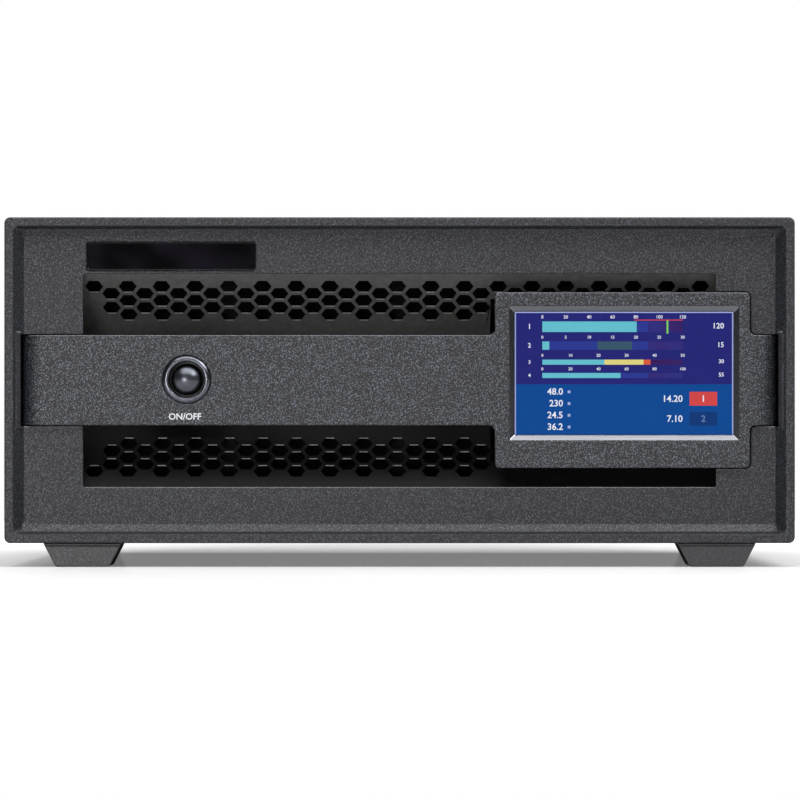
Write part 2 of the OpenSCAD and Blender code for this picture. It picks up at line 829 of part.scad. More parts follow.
module fan_frame() {
    color("#202124") difference() {
        union() {
            difference() {
                translate([-fan_w / 2, -fan_w / 2, 0]) cube([fan_w, fan_w, fan_t]);
                translate([0, 0, -1]) cylinder(r = fan_bore_r, h = fan_t + 2);
            }
            translate([0, 0, fan_t - 3]) cylinder(r = fan_hub_r, h = 2.6);
            translate([0, 0, 8]) cylinder(r = 4.5, h = fan_t - 9);
            for (k = [0 : 3]) rotate([0, 0, 45 + 90 * k])
                translate([0, -1.6, fan_t - 3]) cube([fan_bore_r + 1, 3.2, 2.6]);
        }
        for (sx = [-1, 1], sy = [-1, 1])
            translate([sx * fan_hole, sy * fan_hole, -1]) cylinder(r = 2.15, h = fan_t + 2);
        translate([0, 0, 7]) cylinder(r = fan_shaft_r + 0.05, h = 14);
    }
}

module fan_rotor() {
    hub_top = fan_t - 3.6;
    color("#2a2b2f") {
        difference() {
            translate([0, 0, 2]) cylinder(r = fan_hub_r - 0.5, h = hub_top - 2);
            translate([0, 0, 4]) cylinder(r = fan_hub_r - 2.5, h = fan_t);
        }
        translate([0, 0, 3]) cylinder(r = fan_shaft_r, h = 17);
        intersection() {
            difference() {
                translate([0, 0, 2.5]) cylinder(r = fan_bore_r - 0.8, h = hub_top - 3);
                translate([0, 0, 2]) cylinder(r = fan_hub_r - 1, h = hub_top);
            }
            union() for (k = [0 : fan_blades - 1]) rotate([0, 0, k * 360 / fan_blades])
                translate([fan_bore_r / 2, 0, hub_top / 2 + 1]) rotate([52, 0, 0])
                    cube([fan_bore_r + 6, 40, 1.6], center = true);
        }
    }
}

module fan_frame_left() { at_fan(fan_left_x) fan_frame(); }
module fan_rotor_left() { at_fan(fan_left_x) fan_rotor(); }
module fan_frame_right() { at_fan(fan_right_x) fan_frame(); }
module fan_rotor_right() { at_fan(fan_right_x) fan_rotor(); }

module fan_guards() {
    wire_r = 0.8;
    color("#c2c5c8") for (x = [fan_left_x, fan_right_x])
        translate([x, panel_out, fan_z]) rotate([-90, 0, 0]) {
            for (r = guard_rings) translate([0, 0, 2.4]) rotate_extrude()
                translate([r, 0]) circle(wire_r);
            for (k = [0 : 3]) rotate([0, 0, 45 + 90 * k]) {
                translate([9, 0, wire_r + 0.1]) rotate([0, 90, 0])
                    cylinder(r = wire_r, h = fan_hole * sqrt(2) - 12);
                difference() {
                    translate([fan_hole * sqrt(2), 0, 0.05]) cylinder(r = 4.2, h = 1.6);
                    translate([fan_hole * sqrt(2), 0, -1]) cylinder(r = 2.2, h = 4);
                }
            }
        }
}

module fan_screws() {
    color("#c9cbcd") for (x = [fan_left_x, fan_right_x], sx = [-1, 1], sz = [-1, 1])
        pan_screw(x + sx * fan_hole, fan_z + sz * fan_hole, panel_out + 1.7, 16, -1, 2);
}

// Supply

module supply_case() {
    width = supply_x[1] - supply_x[0];
    color("#9a9da1") difference() {
        translate([(supply_x[0] + supply_x[1]) / 2, 0, 0]) run(supply_y[0], supply_y[1])
            difference() {
                arch(width, floor_top, supply_top, 3);
                translate([0, 1]) arch(width - 2.4, floor_top, supply_top - 2.2, 1.8);
            }
        for (i = [0 : 19], row = [0, 1])
            block([-case_w, supply_y[0] + 12 + i * 9, 28 + row * 34],
                  [supply_x[0] + 10, supply_y[0] + 16 + i * 9, 56 + row * 34]);
    }
}

module supply_board() {
    color("#1f5a3a") {
        block([supply_x[0] + 4, supply_y[0] + 4, supply_board_low],
              [supply_x[1] - 4, supply_y[1] - 4, supply_board_top]);
        for (x = [supply_x[0] + 9, supply_x[1] - 9], y = [supply_y[0] + 9, supply_y[1] - 9])
            translate([x, y, floor_top + 1]) cylinder(r = 3, h = supply_board_low - floor_top - 0.9);
    }
}

module supply_transformer() {
    color("#3c3a34") translate([supply_x[0] + 40, -20, supply_board_top]) {
        difference() {
            translate([-24, -28, 0]) cube([48, 56, 44]);
            translate([-14, -29, 8]) cube([28, 58, 28]);
        }
        translate([-14, -20, 8]) cube([28, 40, 28]);
    }
}

module supply_capacitors() {
    color("#26262b") for (x = [supply_x[0] + 24, supply_x[0] + 54], y = [-100, -70, 48])
        translate([x, y, supply_board_top]) cylinder(r = 12.5, h = 46);
}

module mains_filter() {
    color("#b9bcc0") block([inlet_x - 24, 90, floor_top], [inlet_x + 24, 138, floor_top + 38]);
}

// Control and rear connections

module control_board() {
    color("#1f5a3a") {
        block([-72, 100, board_z], [90, panel_in - 2, board_top]);
        for (x = [-66, 20, 84]) translate([x, 130, duct_top])
            cylinder(r = 3, h = board_z - duct_top + 0.1);
        for (p = [[-40, 112], [10, 118], [52, 110]])
            block([p[0], p[1], board_top], [p[0] + 16, p[1] + 16, board_top + 2.2]);
    }
}

module network_jack() {
    color("#b9bcc0") difference() {
        block([lan_x - 8, panel_out - 20.6, board_top], [lan_x + 8, panel_out + 0.4, board_top + 13.4]);
        run(panel_out - 12, panel_out + 1, lan_x, board_top + 7.4) {
            square([11.8, 7], center = true);
            translate([-3, -5.6]) square([6, 4]);
        }
    }
}

module accessory_port() {
    color("#b9bcc0") difference() {
        union() {
            run(panel_out, panel_out + 1, port_x, jack_z) rrect(39.2, 12.5, 1);
            run(panel_in - 8, panel_out + 6.2, port_x, jack_z) rrect(25, 8.4, 2);
            block([port_x - 14, panel_in - 10, board_top], [port_x + 14, panel_in - 0.5, board_top + 12]);
        }
        for (i = [0 : 7]) rod(0.7, port_x - 9.7 + i * 2.77, jack_z + 1.42, panel_out, panel_out + 7);
        for (i = [0 : 6]) rod(0.7, port_x - 8.3 + i * 2.77, jack_z - 1.42, panel_out, panel_out + 7);
        for (s = [-1, 1])
            rod(screw_r + hole_play, port_x + s * port_screw, jack_z, panel_in - 3, panel_out + 3);
    }
}

module keying_jacks() {
    color("#c9cbcd") for (x = key_xs) difference() {
        union() {
            rod(key_r, x, jack_z, panel_in - 1, panel_out + key_reach);
            rod(6, x, jack_z, panel_out, panel_out + 1);
            block([x - 5, panel_in - 12, board_top], [x + 5, panel_in - 0.2, board_top + 12.6]);
        }
        rod(1.65, x, jack_z, panel_out, panel_out + 10);
        turned_y(x, jack_z, panel_out + 1.5) translate([2.5, 0]) square([0.9, 9]);
    }
}

module rf_sockets() {
    color("#c9cbcd") for (x = socket_xs, z = socket_zs) difference() {
        union() {
            run(panel_out, panel_out + socket_flange_t, x, z) rrect(25.4, 25.4, 1.5);
            rod(socket_r, x, z, panel_in - 4, socket_end);
            rod(1.6, x, z, panel_in - 12, panel_in);
        }
        rod(2, x, z, socket_end - 9, socket_end + 1);
        turned_y(x, z, socket_end - 3) translate([2.9, 0]) square([3.5, 4]);
        for (sx = [-1, 1], sz = [-1, 1])
            rod(screw_r + hole_play, x + sx * socket_screw, z + sz * socket_screw,
                panel_out - 1, panel_out + 3);
    }
}

module ground_terminal() {
    shoulder = panel_out + washer_t + nut_t;
    color("#c9cbcd") {
        rod(stud_neck_r, ground_x, ground_z, panel_in - 12, shoulder + 0.1);
        rod(stud_r, ground_x, ground_z, shoulder, y_rear + rear_reach);
        for (y = [panel_in - nut_t, panel_out + washer_t]) difference() {
            rod(nut_r, ground_x, ground_z, y, y + nut_t, $fn = 6);
            rod(stud_neck_r + thread_play, ground_x, ground_z, y - 1, y + nut_t + 1);
        }
        difference() {
            rod(nut_r + 0.4, ground_x, ground_z, panel_out, panel_out + washer_t);
            rod(stud_neck_r + hole_play, ground_x, ground_z, panel_out - 1, panel_out + 2);
        }
    }
}

module mains_inlet() {
    color("#1b1b1d") difference() {
        union() {
            run(panel_out, panel_out + 3, inlet_x, inlet_z) rrect(56, 31, 4);
            run(panel_in - 20, panel_out + 0.5, inlet_x, inlet_z) rrect(34, 26, 2);
        }
        run(panel_out - 14, panel_out + 4, inlet_x, inlet_z) rrect(inlet_cavity[0], inlet_cavity[1], 2);
        for (s = [-1, 1])
            rod(screw_r + hole_play, inlet_x + s * inlet_screw, inlet_z, panel_out - 1, panel_out + 4);
        for (p = pin_places)
            run(panel_in - 30, panel_out, inlet_x + p[0], inlet_z + p[1]) square([8.1, 2.1], center = true);
    }
}

module inlet_pins() {
    color("#d8c58a") for (p = pin_places)
        run(panel_in - 24, panel_out + (p[0] == 0 ? 1 : -0.5), inlet_x + p[0], inlet_z + p[1])
            square([8, 2], center = true);
}

module mains_switch_body() {
    color("#1b1b1d") difference() {
        union() {
            run(panel_out, panel_out + 1.8, switch_x, switch_z) rrect(24, 34, 1);
            run(panel_in - 16, panel_out + 0.5, switch_x, switch_z) square([20, 30], center = true);
        }
        run(panel_in - 8, panel_out + 3, switch_x, switch_z) square([15, 26], center = true);
        translate([switch_x, rocker_pivot_y, switch_z]) rotate([0, 90, 0])
            cylinder(r = 1.65, h = 18, center = true);
    }
}

// The rocker stands at off: its lower half is pressed in
module mains_rocker() {
    half = 11.5;
    front = 6;
    color("#17171a") translate([switch_x, rocker_pivot_y, switch_z]) rotate([-rocker_tilt, 0, 0]) {
        rotate([90, 0, 90]) translate([0, 0, -7]) linear_extrude(14)
            polygon([[-2, -half + 2], [front + half * tan(rocker_tilt), -half], [front, 0],
                     [front + half * tan(rocker_tilt), half], [-2, half - 2], [-4, 0]]);
        rotate([0, 90, 0]) cylinder(r = 1.6, h = 17, center = true);
    }
}

// A coax from a socket's rear pin: along, through a right-angle block, down to the filter board
module coax(x, z, column_y) {
    cable_r = 2.3;
    elbow = 7;
    rod(cable_r, x, z, column_y, panel_in - 12.1);
    translate([x, column_y, filter_top + 5]) cylinder(r = cable_r, h = z - filter_top - 5);
    translate([x, column_y, z]) cube(elbow, center = true);
    translate([x, column_y, filter_top + 3]) cube([8, 8, 6], center = true);
}

module internal_cables() {
    color("#1d1d20") {
        for (x = socket_xs) {
            coax(x, socket_zs[0], filter_y[1] - 9);
            coax(x, socket_zs[1], filter_y[1] - 23);
        }
        start = y_front + lens_d + lens_t + module_t + 0.8 + board_t;
        low_x = bezel_x - ribbon_w / 2;
        high_x = bezel_x + ribbon_w / 2;
        block([low_x, start, z_mid - 0.4], [high_x, ribbon_ys[0], z_mid + 0.4]);
        block([low_x, ribbon_ys[0] - 0.8, z_mid - 0.4], [high_x, ribbon_ys[0], ribbon_z]);
        block([low_x, ribbon_ys[0] - 0.8, ribbon_z - 0.8], [high_x, ribbon_ys[1], ribbon_z]);
        block([low_x, ribbon_ys[1] - 0.8, board_top], [high_x, ribbon_ys[1], ribbon_z]);
    }
}

front_frame();
center_fascia();
upper_grille();
lower_grille();
badge_plate();
button_bezel();
button_cap();
button_spring();
button_switch();
button_board();
display_lens();
display_module();
display_board();
display_carrier();
front_subpanel();
fascia_posts();
front_screws();
bottom_chassis();
top_cover();
rear_panel();
cover_screws();
rear_screws();
foot_front_left();
foot_front_right();
foot_rear_left();
foot_rear_right();
foot_screws();
heatsink();
heat_spreader();
rf_board();
rf_transistors();
rf_transformers();
air_duct();
filter_board();
filter_inductors();
filter_relays();
filter_capacitors();
rf_shield();
fan_frame_left();
fan_rotor_left();
fan_frame_right();
fan_rotor_right();
fan_guards();
fan_screws();
supply_case();
supply_board();
supply_transformer();
supply_capacitors();
mains_filter();
control_board();
network_jack();
accessory_port();
keying_jacks();
rf_sockets();
ground_terminal();
mains_inlet();
inlet_pins();
mains_switch_body();
mains_rocker();
internal_cables();
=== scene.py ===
import json
import math

import bmesh
import bpy
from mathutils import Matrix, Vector


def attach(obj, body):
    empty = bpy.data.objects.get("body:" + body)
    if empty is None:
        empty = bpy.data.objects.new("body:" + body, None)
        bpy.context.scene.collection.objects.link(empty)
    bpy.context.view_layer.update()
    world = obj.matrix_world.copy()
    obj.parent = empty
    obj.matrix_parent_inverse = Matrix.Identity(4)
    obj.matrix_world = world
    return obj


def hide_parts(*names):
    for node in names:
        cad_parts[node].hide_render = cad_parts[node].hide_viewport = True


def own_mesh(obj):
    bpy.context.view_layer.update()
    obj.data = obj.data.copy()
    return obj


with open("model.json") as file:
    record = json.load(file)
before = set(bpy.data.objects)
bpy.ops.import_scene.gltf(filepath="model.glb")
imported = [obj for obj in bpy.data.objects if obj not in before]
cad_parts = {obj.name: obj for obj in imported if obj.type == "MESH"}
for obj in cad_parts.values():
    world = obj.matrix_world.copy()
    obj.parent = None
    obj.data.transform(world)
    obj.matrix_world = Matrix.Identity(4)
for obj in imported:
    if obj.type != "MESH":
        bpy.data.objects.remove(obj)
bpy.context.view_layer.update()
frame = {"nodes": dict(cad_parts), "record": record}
slotOf = {row["node"]: row["material_slot"] for row in frame["record"]["subparts"]}
bodyOf = {node: body for body, nodes in frame["record"]["behaviour"]["bodies"].items() for node in nodes}

mm = 0.001
rimY = -200  # front plane of the rim, in mm
midZ = 80.9  # middle height of the case, in mm
rearY = 184  # outer face of the rear panel, in mm
tiny = 0.01  # how near, in mm, counts as lying on a plane
roundedFrom, smoothBelow = 32, 38  # in degrees: sharper edges get a round, flatter ones look smooth


# Working with objects and edit mode

def deep(depth):
    return rimY + depth


def startFresh():
    active = bpy.context.view_layer.objects.active
    if active and active.mode != "OBJECT":
        bpy.ops.object.mode_set(mode="OBJECT")
    bpy.ops.object.select_all(action="DESELECT")


def choose(*pieces):
    startFresh()
    for piece in pieces:
        piece.select_set(True)
    bpy.context.view_layer.objects.active = pieces[0]


def edit(piece):
    choose(piece)
    bpy.ops.object.mode_set(mode="EDIT")


def selectAll():
    bpy.ops.mesh.select_all(action="SELECT")


def place(name):
    piece = bpy.context.object
    piece.name = piece.data.name = name
    bpy.ops.object.transform_apply(location=True, rotation=True, scale=True)
    return piece


def addBlock(name, low, high, tilt=0):
    startFresh()
    bpy.ops.mesh.primitive_cube_add(
        size=1, location=[(a + b) / 2 * mm for a, b in zip(low, high)],
        rotation=(math.radians(tilt), 0, 0), scale=[(b - a) * mm for a, b in zip(low, high)])
    return place(name)


# A block about (x, z), as wide and high as given, from yStart to yEnd
def addPlate(name, x, z, width, height, yStart, yEnd):
    return addBlock(name, (x - width / 2, yStart, z - height / 2), (x + width / 2, yEnd, z + height / 2))


def addRod(name, radius, x, z, yStart, yEnd, sides=48):
    startFresh()
    bpy.ops.mesh.primitive_cylinder_add(
        vertices=sides, radius=radius * mm, depth=(yEnd - yStart) * mm,
        location=(x * mm, (yStart + yEnd) / 2 * mm, z * mm), rotation=(math.pi / 2, 0, 0))
    return place(name)


def middle(part):
    if isinstance(part, bmesh.types.BMFace):
        return part.calc_center_median() / mm
    return (part.verts[0].co + part.verts[1].co) / 2 / mm


def runs(edge, axis):
    line = edge.verts[1].co - edge.verts[0].co
    return abs(line["xyz".index(axis)]) > 0.99 * line.length


def pick(piece, kind, test):
    bpy.ops.mesh.select_mode(type={"edges": "EDGE", "faces": "FACE"}[kind])
    bpy.ops.mesh.select_all(action="DESELECT")
    shape = bmesh.from_edit_mesh(piece.data)
    for part in getattr(shape, kind):
        if test(part):
            part.select_set(True)
    bmesh.update_edit_mesh(piece.data)


def extrude(x, y, z):
    bpy.ops.mesh.extrude_region_move(TRANSFORM_OT_translate={"value": (x * mm, y * mm, z * mm)})


def alongY(edge):
    return runs(edge, "y")


def roundEdges(piece, radius, segments, test=alongY):
    edit(piece)
    pick(piece, "edges", test)
    bpy.ops.mesh.bevel(offset=radius * mm, segments=segments, affect="EDGES")
    startFresh()


def applyStep(piece, kind, **settings):
    choose(piece)
    step = piece.modifiers.new("step", kind)
    for key, value in settings.items():
        setattr(step, key, value)
    bpy.ops.object.modifier_apply(modifier=step.name)


def cut(piece, *tools, operation="DIFFERENCE"):
    for tool in tools:
        applyStep(piece, "BOOLEAN", operation=operation, solver="EXACT", object=tool)
        bpy.data.objects.remove(tool)


def joinAll(name, pieces):
    choose(*pieces)
    if len(pieces) > 1:
        bpy.ops.object.join()
    piece = bpy.context.object
    piece.name = piece.data.name = name
    return piece


# Closes a mesh, or bridges its two open ends, and turns its faces outwards
def closeUp(piece, bridge=False):
    pick(piece, "edges", lambda edge: edge.is_boundary)
    if bridge:
        bpy.ops.mesh.bridge_edge_loops()
    else:
        bpy.ops.mesh.fill_holes(sides=0)
    selectAll()
    bpy.ops.mesh.normals_make_consistent(inside=False)
    startFresh()


# Breaks the sharp edges with a small round, then keeps the flats flat and the rounds smooth
def finishEdges(piece, width=0.0, segments=2):
    if width:
        applyStep(piece, "BEVEL", width=width * mm, segments=segments, limit_method="ANGLE",
                angle_limit=math.radians(roundedFrom), use_clamp_overlap=False)
    choose(piece)
    bpy.ops.object.shade_smooth_by_angle(angle=math.radians(smoothBelow))
    applyStep(piece, "WEIGHTED_NORMAL", keep_sharp=True)
    return piece


# A shape turned about a line along Y: profile lists (radius, distance from start) in mm, end to end
def turned(name, x, z, start, profile, sides=96, closed=False):
    startFresh()
    rows = [(radius, start + y) for radius, y in profile]
    bpy.ops.mesh.primitive_circle_add(
        vertices=sides, radius=rows[0][0] * mm, location=(x * mm, rows[0][1] * mm, z * mm),
        rotation=(math.pi / 2, 0, 0))
    piece = place(name)
    edit(piece)
    bpy.ops.mesh.select_mode(type="EDGE")
    selectAll()
    for (oldR, oldY), (newR, newY) in zip(rows, rows[1:]):
        extrude(0, newY - oldY, 0)
        bpy.ops.transform.resize(value=(newR / oldR, 1, newR / oldR),
                center_override=(x * mm, newY * mm, z * mm))
    closeUp(piece, closed)
    return piece


# A wire wound about a line along Y: a spring, or with 4 sides a screw thread
def wound(name, x, z, start, coilR, wireR, pitch, turns, sides=12, steps=36):
    startFresh()
    bpy.ops.mesh.primitive_circle_add(
        vertices=sides, radius=wireR * mm, location=(x * mm, start * mm, z * mm))
    piece = bpy.context.object
    edit(piece)
    selectAll()
    bpy.ops.transform.translate(value=(coilR * mm, 0, 0))
    applyStep(piece, "SCREW", axis="Y", screw_offset=pitch * mm, iterations=turns, steps=steps,
            render_steps=steps)
    edit(piece)
    closeUp(piece)
    choose(piece)
    return place(name)


def addText(name, words, size, spot, depth, weight, align="CENTER"):
    startFresh()
    bpy.ops.object.text_add(location=[v * mm for v in spot], rotation=(math.pi / 2, 0, 0))
    line = bpy.context.object
    line.data.body, line.data.size, line.data.align_x, line.data.align_y = words, size * mm, align, "CENTER"
    line.data.extrude, line.data.offset, line.data.resolution_u = depth / 2 * mm, weight * mm, 3
    bpy.ops.object.convert(target="MESH")
    return place(name)


# A node's own mesh in a new object, merged so that it can be worked on
def copyNode(node, name):
    piece = bpy.data.objects.new(name, frame["nodes"][node].data.copy())
    bpy.context.scene.collection.objects.link(piece)
    edit(piece)
    selectAll()
    bpy.ops.mesh.remove_doubles(threshold=0.002 * mm)
    bpy.ops.mesh.dissolve_limited(angle_limit=math.radians(0.5))
    startFresh()
    return piece


# Copies of a piece, each moved by its own step across and up
def spread(piece, steps):
    made = [piece]
    for dx, dz in steps:
        choose(piece)
        bpy.ops.object.duplicate(linked=False)
        bpy.ops.transform.translate(value=(dx * mm, 0, dz * mm))
        made.append(place(piece.name))
    return made


def paint(piece, *finishes):
    piece.data.materials.clear()
    for finish in finishes:
        piece.data.materials.append(finish)


# Gives the faces that pass the test another of the piece's finishes
def repaint(piece, index, test):
    edit(piece)
    pick(piece, "faces", test)
    piece.active_material_index = index
    bpy.ops.object.material_slot_assign()
    startFresh()


# The piece stands for a CAD node, and rides where that rides
def standFor(piece, node, *finishes):
    if finishes:
        paint(piece, *finishes)
    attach(piece, bodyOf[node])
    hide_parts(node)


# A piece that stands for no node
def addPiece(piece, finish, body="amplifier"):
    paint(piece, finish)
    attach(piece, body)


# Finishes

def linear(code):
    parts = [int(code[i:i + 2], 16) / 255 for i in (1, 3, 5)]
    return [p / 12.92 if p <= 0.04045 else ((p + 0.055) / 1.055) ** 2.4 for p in parts] + [1]


def connect(tree, node, links):
    for key, (source, output) in links.items():
        tree.links.new(source.outputs[output], node.inputs[key])


def addNode(tree, kind, settings=None, links=None):
    node = tree.nodes.new("ShaderNode" + kind)
    for key, value in (settings or {}).items():
        if isinstance(key, str) and hasattr(node, key):
            setattr(node, key, value)
        else:
            node.inputs[key].default_value = value
    connect(tree, node, links or {})
    return node


def newFinish(name, settings):
    finish = bpy.data.materials.new(name)
    finish.use_nodes = True
    tree = finish.node_tree
    shader = tree.nodes["Principled BSDF"]
    for key, value in settings.items():
        shader.inputs[key].default_value = value
    return finish, tree, shader


def addTint(tree, source, stops):
    ramp = addNode(tree, "ValToRGB", {}, {"Fac": (source, "Fac")})
    for step, (position, colour) in zip(ramp.color_ramp.elements, stops):
        step.position, step.color = position, colour
    return ramp


def addNoise(tree, size, detail, spot, output="Object", settings=None):
    values = {"Scale": 1 / (size * mm), "Detail": detail, **(settings or {})}
    return addNode(tree, "TexNoise", values, {"Vector": (spot, output)})


def addRelief(tree, source, height, strength=1.0):
    return addNode(tree, "Bump", {"Strength": strength, "Distance": height * mm},
            {"Height": (source, "Fac")})


def dress(tree, shader, tint, bump, gloss=None):
    connect(tree, shader, {"Base Color": (tint, "Color"), "Normal": (bump, "Normal")})
    if gloss:
        connect(tree, shader, {"Roughness": (gloss, "Result")})


# Sizes in mm; askew keeps flat faces off the planes where the noise has none
coat = {
    "grain": 0.6, "roughness": 0.42, "askew": (0.6, 0.4, 0.7), "flecks": (0.52, 0.62), "gloss": (0.4, 0.6),
    "rougher": 0.18, "smoother": 0.1,
}


# Polyester powder coat, fine texture: nearly black, with small soft grains that catch the light one by one
def powderCoat(name, dark, light, grain=coat["grain"], roughness=coat["roughness"], height=0.1, shine=1.0):
    finish, tree, shader = newFinish(name, {"Roughness": roughness, "Specular IOR Level": shine})
    spot = addNode(tree, "TexCoord")
    askew = addNode(tree, "Mapping", {"Rotation": coat["askew"]}, {"Vector": (spot, "Object")})
    grains = addNoise(tree, grain, 2.0, askew, "Vector", {"Roughness": 0.6})
    tint = addTint(tree, grains, [(coat["flecks"][0], linear(dark)), (coat["flecks"][1], linear(light))])
    gloss = addNode(tree, "MapRange", {
        "From Min": coat["gloss"][0], "From Max": coat["gloss"][1], "To Min": roughness + coat["rougher"],
        "To Max": roughness - coat["smoother"]}, {"Value": (grains, "Fac")})
    dress(tree, shader, tint, addRelief(tree, grains, height), gloss)
    return finish


# A finish whose colour and gloss wander a little between two tones, with its own fine relief
def mottled(name, dark, light, size, rough, metal=0.0, height=0.01, relief=None, detail=3.0, spread=0.06,
        extra=None):
    finish, tree, shader = newFinish(name, {"Roughness": rough, "Metallic": metal, **(extra or {})})
    spot = addNode(tree, "TexCoord")
    tone = addNoise(tree, size, detail, spot)
    tint = addTint(tree, tone, [(0.36, linear(dark)), (0.64, linear(light))])
    gloss = addNode(tree, "MapRange", {
        "To Min": max(rough - spread, 0.02), "To Max": rough + spread}, {"Value": (tone, "Fac")})
    fine = addNoise(tree, relief or size / 4, 2.0, spot)
    dress(tree, shader, tint, addRelief(tree, fine, height), gloss)
    return finish


# Metal with the fine parallel lines of rolling or brushing, long along one axis
def brushed(name, dark, light, along, rough, metal=1.0, lineWidth=0.25, height=0.006):
    finish, tree, shader = newFinish(name, {"Metallic": metal, "Roughness": rough})
    spot = addNode(tree, "TexCoord")
    stretch = [0.02 if axis == along else 1.0 for axis in "xyz"]
    drawn = addNode(tree, "Mapping", {"Scale": stretch}, {"Vector": (spot, "Object")})
    lines = addNoise(tree, lineWidth, 3.0, drawn, "Vector")
    tint = addTint(tree, lines, [(0.3, linear(dark)), (0.7, linear(light))])
    dress(tree, shader, tint, addRelief(tree, lines, height))
    return finish


pixel = {"size": 0.2, "wave": 20, "dip": 0.94}  # in mm; the wave texture's own bands are a twentieth apart


# Light that the display gives off, with the fine grid of its pixels in it
def litInk(name, code):
    finish, tree, shader = newFinish(name, {
        "Base Color": linear("#000000"), "Roughness": 0.5, "Specular IOR Level": 0.0,
        "Emission Strength": 1.0})
    spot = addNode(tree, "TexCoord")
    grid = addNode(tree, "TexWave", {
        "wave_type": "BANDS", "bands_direction": "X", "Scale": 1 / (pixel["size"] * pixel["wave"] * mm)},
        {"Vector": (spot, "Object")})
    glow = linear(code)
    tint = addTint(tree, grid, [(0.0, [c * pixel["dip"] for c in glow[:3]] + [1]), (1.0, glow)])
    connect(tree, shader, {"Emission Color": (tint, "Color")})
    return finish


# Glass-epoxy board under green solder mask, with the copper's shape showing through it
def solderMask(name):
    finish, tree, shader = newFinish(name, {"Roughness": 0.3, "Coat Weight": 0.3, "Coat Roughness": 0.15})
    spot = addNode(tree, "TexCoord")
    tracks = addNode(tree, "TexBrick", {
        "Color1": linear("#1c6b41"), "Color2": linear("#175a37"), "Mortar": linear("#0d3b25"),
        "Scale": 1 / (6 * mm), "Mortar Size": 0.09, "Mortar Smooth": 0.2, "Brick Width": 1.7,
        "Row Height": 0.42}, {"Vector": (spot, "Object")})
    weave = addNoise(tree, 1.5, 2.0, spot)
    bump = addRelief(tree, tracks, 0.04, 0.6)
    mixed = addNode(tree, "Mix", {"data_type": "RGBA", "blend_type": "MULTIPLY", 0: 0.25},
            {6: (tracks, "Color"), 7: (weave, "Color")})
    connect(tree, shader, {"Base Color": (mixed, 2), "Normal": (bump, "Normal")})
    return finish


frameCoat = powderCoat("powder_coat_surround", "#010102", "#474a55", height=0.22, shine=0.7)
bandCoat = powderCoat("powder_coat_band", "#020305", "#636672", height=0.22, shine=0.7)
# a paler copy of the same coat with less relief, given to faces that face upward: painted highlight where the
# light from above falls
upwardHighlightCoat = powderCoat("powder_coat_painted_highlight_upward", "#5c5e66", "#8b8d95", height=0.06)
caseCoat = powderCoat("powder_coat_case", "#0b0c0f", "#36383f", 0.5, 0.46)
footPlastic = powderCoat("moulded_foot_plastic", "#111216", "#33353b", 0.5, 0.46, 0.08)
# wet paint on cold-rolled steel: thin and even, matt; the upper sheet's copy is painted lighter as painted
# light, the lower sheet's darker and less glossy as painted shade
upperIntakePaintedLight = mottled("matt_paint_upper_intake_painted_light", "#525351", "#5d5e5c", 2.5, 0.55, height=0.008)
lowerIntakePaintedShade = mottled("matt_paint_lower_intake_painted_shade", "#0d0d0f", "#141416", 2.5, 0.55, height=0.008,
    extra={"Specular IOR Level": 0.3})
# dead matt primer on what stands behind the intakes, kept near black as painted shade behind the intake holes
innerPrimerPaintedShade = mottled("matt_primer_inside_painted_shade", "#0a0a0b", "#101011", 3.0, 0.8, extra={"Specular IOR Level": 0.2})
# the same paint, thinner on the punched edges, where the steel shines through, and made this pale as a
# painted highlight on the hole walls
punchedEdgeAndHighlight = mottled("thin_paint_on_punched_edge_and_painted_highlight", "#bdbdb8", "#dededa", 0.8, 0.4, 0.3)
# clear resin poured over black foil: deep, wet gloss
domedResin = mottled("domed_resin_over_black", "#050406", "#15131a", 16.0, 0.5, 0.0, 0.0004, 6.0, 1.0, 0.02,
    {"Specular IOR Level": 0.0, "Coat Weight": 1.0, "Coat Roughness": 0.05, "Coat IOR": 1.5})
# hard anodised and polished aluminium: dark mirrors
ringPolish = mottled("dark_anodised_polished", "#5d5f67", "#6b6d75", 2.0, 0.26, 1.0, 0.001, 1.0, spread=0.03)
capPolish = mottled("black_chrome_cap", "#5d5f67", "#696b73", 2.0, 0.32, 1.0, 0.001, 1.0, spread=0.03)
# a bevel cut after coating: bare bright aluminium with fine tool lines
cutTrim = brushed("diamond_cut_aluminium", "#74757b", "#86878d", "x", 0.2, 1.0, 0.3, 0.002)
# extruded acrylic sheet: clear and flat
lensClear = mottled("clear_acrylic", "#fbfcfd", "#ffffff", 8.0, 0.02, 0.0, 0.0002, 20.0, spread=0.0,
    extra={"IOR": 1.49, "Transmission Weight": 1.0})
# plated metals: zinc is dull and grey, nickel bright and warm, gold flash yellow, black oxide dark and oily
steelZinc = mottled("zinc_plated_sheet", "#8d9196", "#aeb2b7", 5.0, 0.44, 1.0, 0.006)
nickelPlate = mottled("nickel_plate", "#b9b5ac", "#d3cfc6", 3.0, 0.2, 1.0, 0.003)
goldPlate = mottled("gold_flash_contact", "#c79a48", "#e3bd6c", 1.5, 0.24, 1.0, 0.002)
blackSteel = mottled("black_oxide_steel", "#17181a", "#26282b", 1.2, 0.4, 0.7)
# drawn and milled metal: long fine lines
# black anodising on the heatsink, kept this dark also as painted shade where it shows through the intakes
sinkAnodisedAndShade = brushed("black_anodised_extrusion_and_painted_shade", "#141416", "#222326", "y", 0.42, 0.6, 0.4)
copperMilled = brushed("milled_copper", "#a2613c", "#cf8a5c", "x", 0.3, 1.0, 0.5)
enamelWire = brushed("enamelled_copper_wire", "#7c2a18", "#c9603a", "z", 0.28, 1.0, 0.8, 0.15)
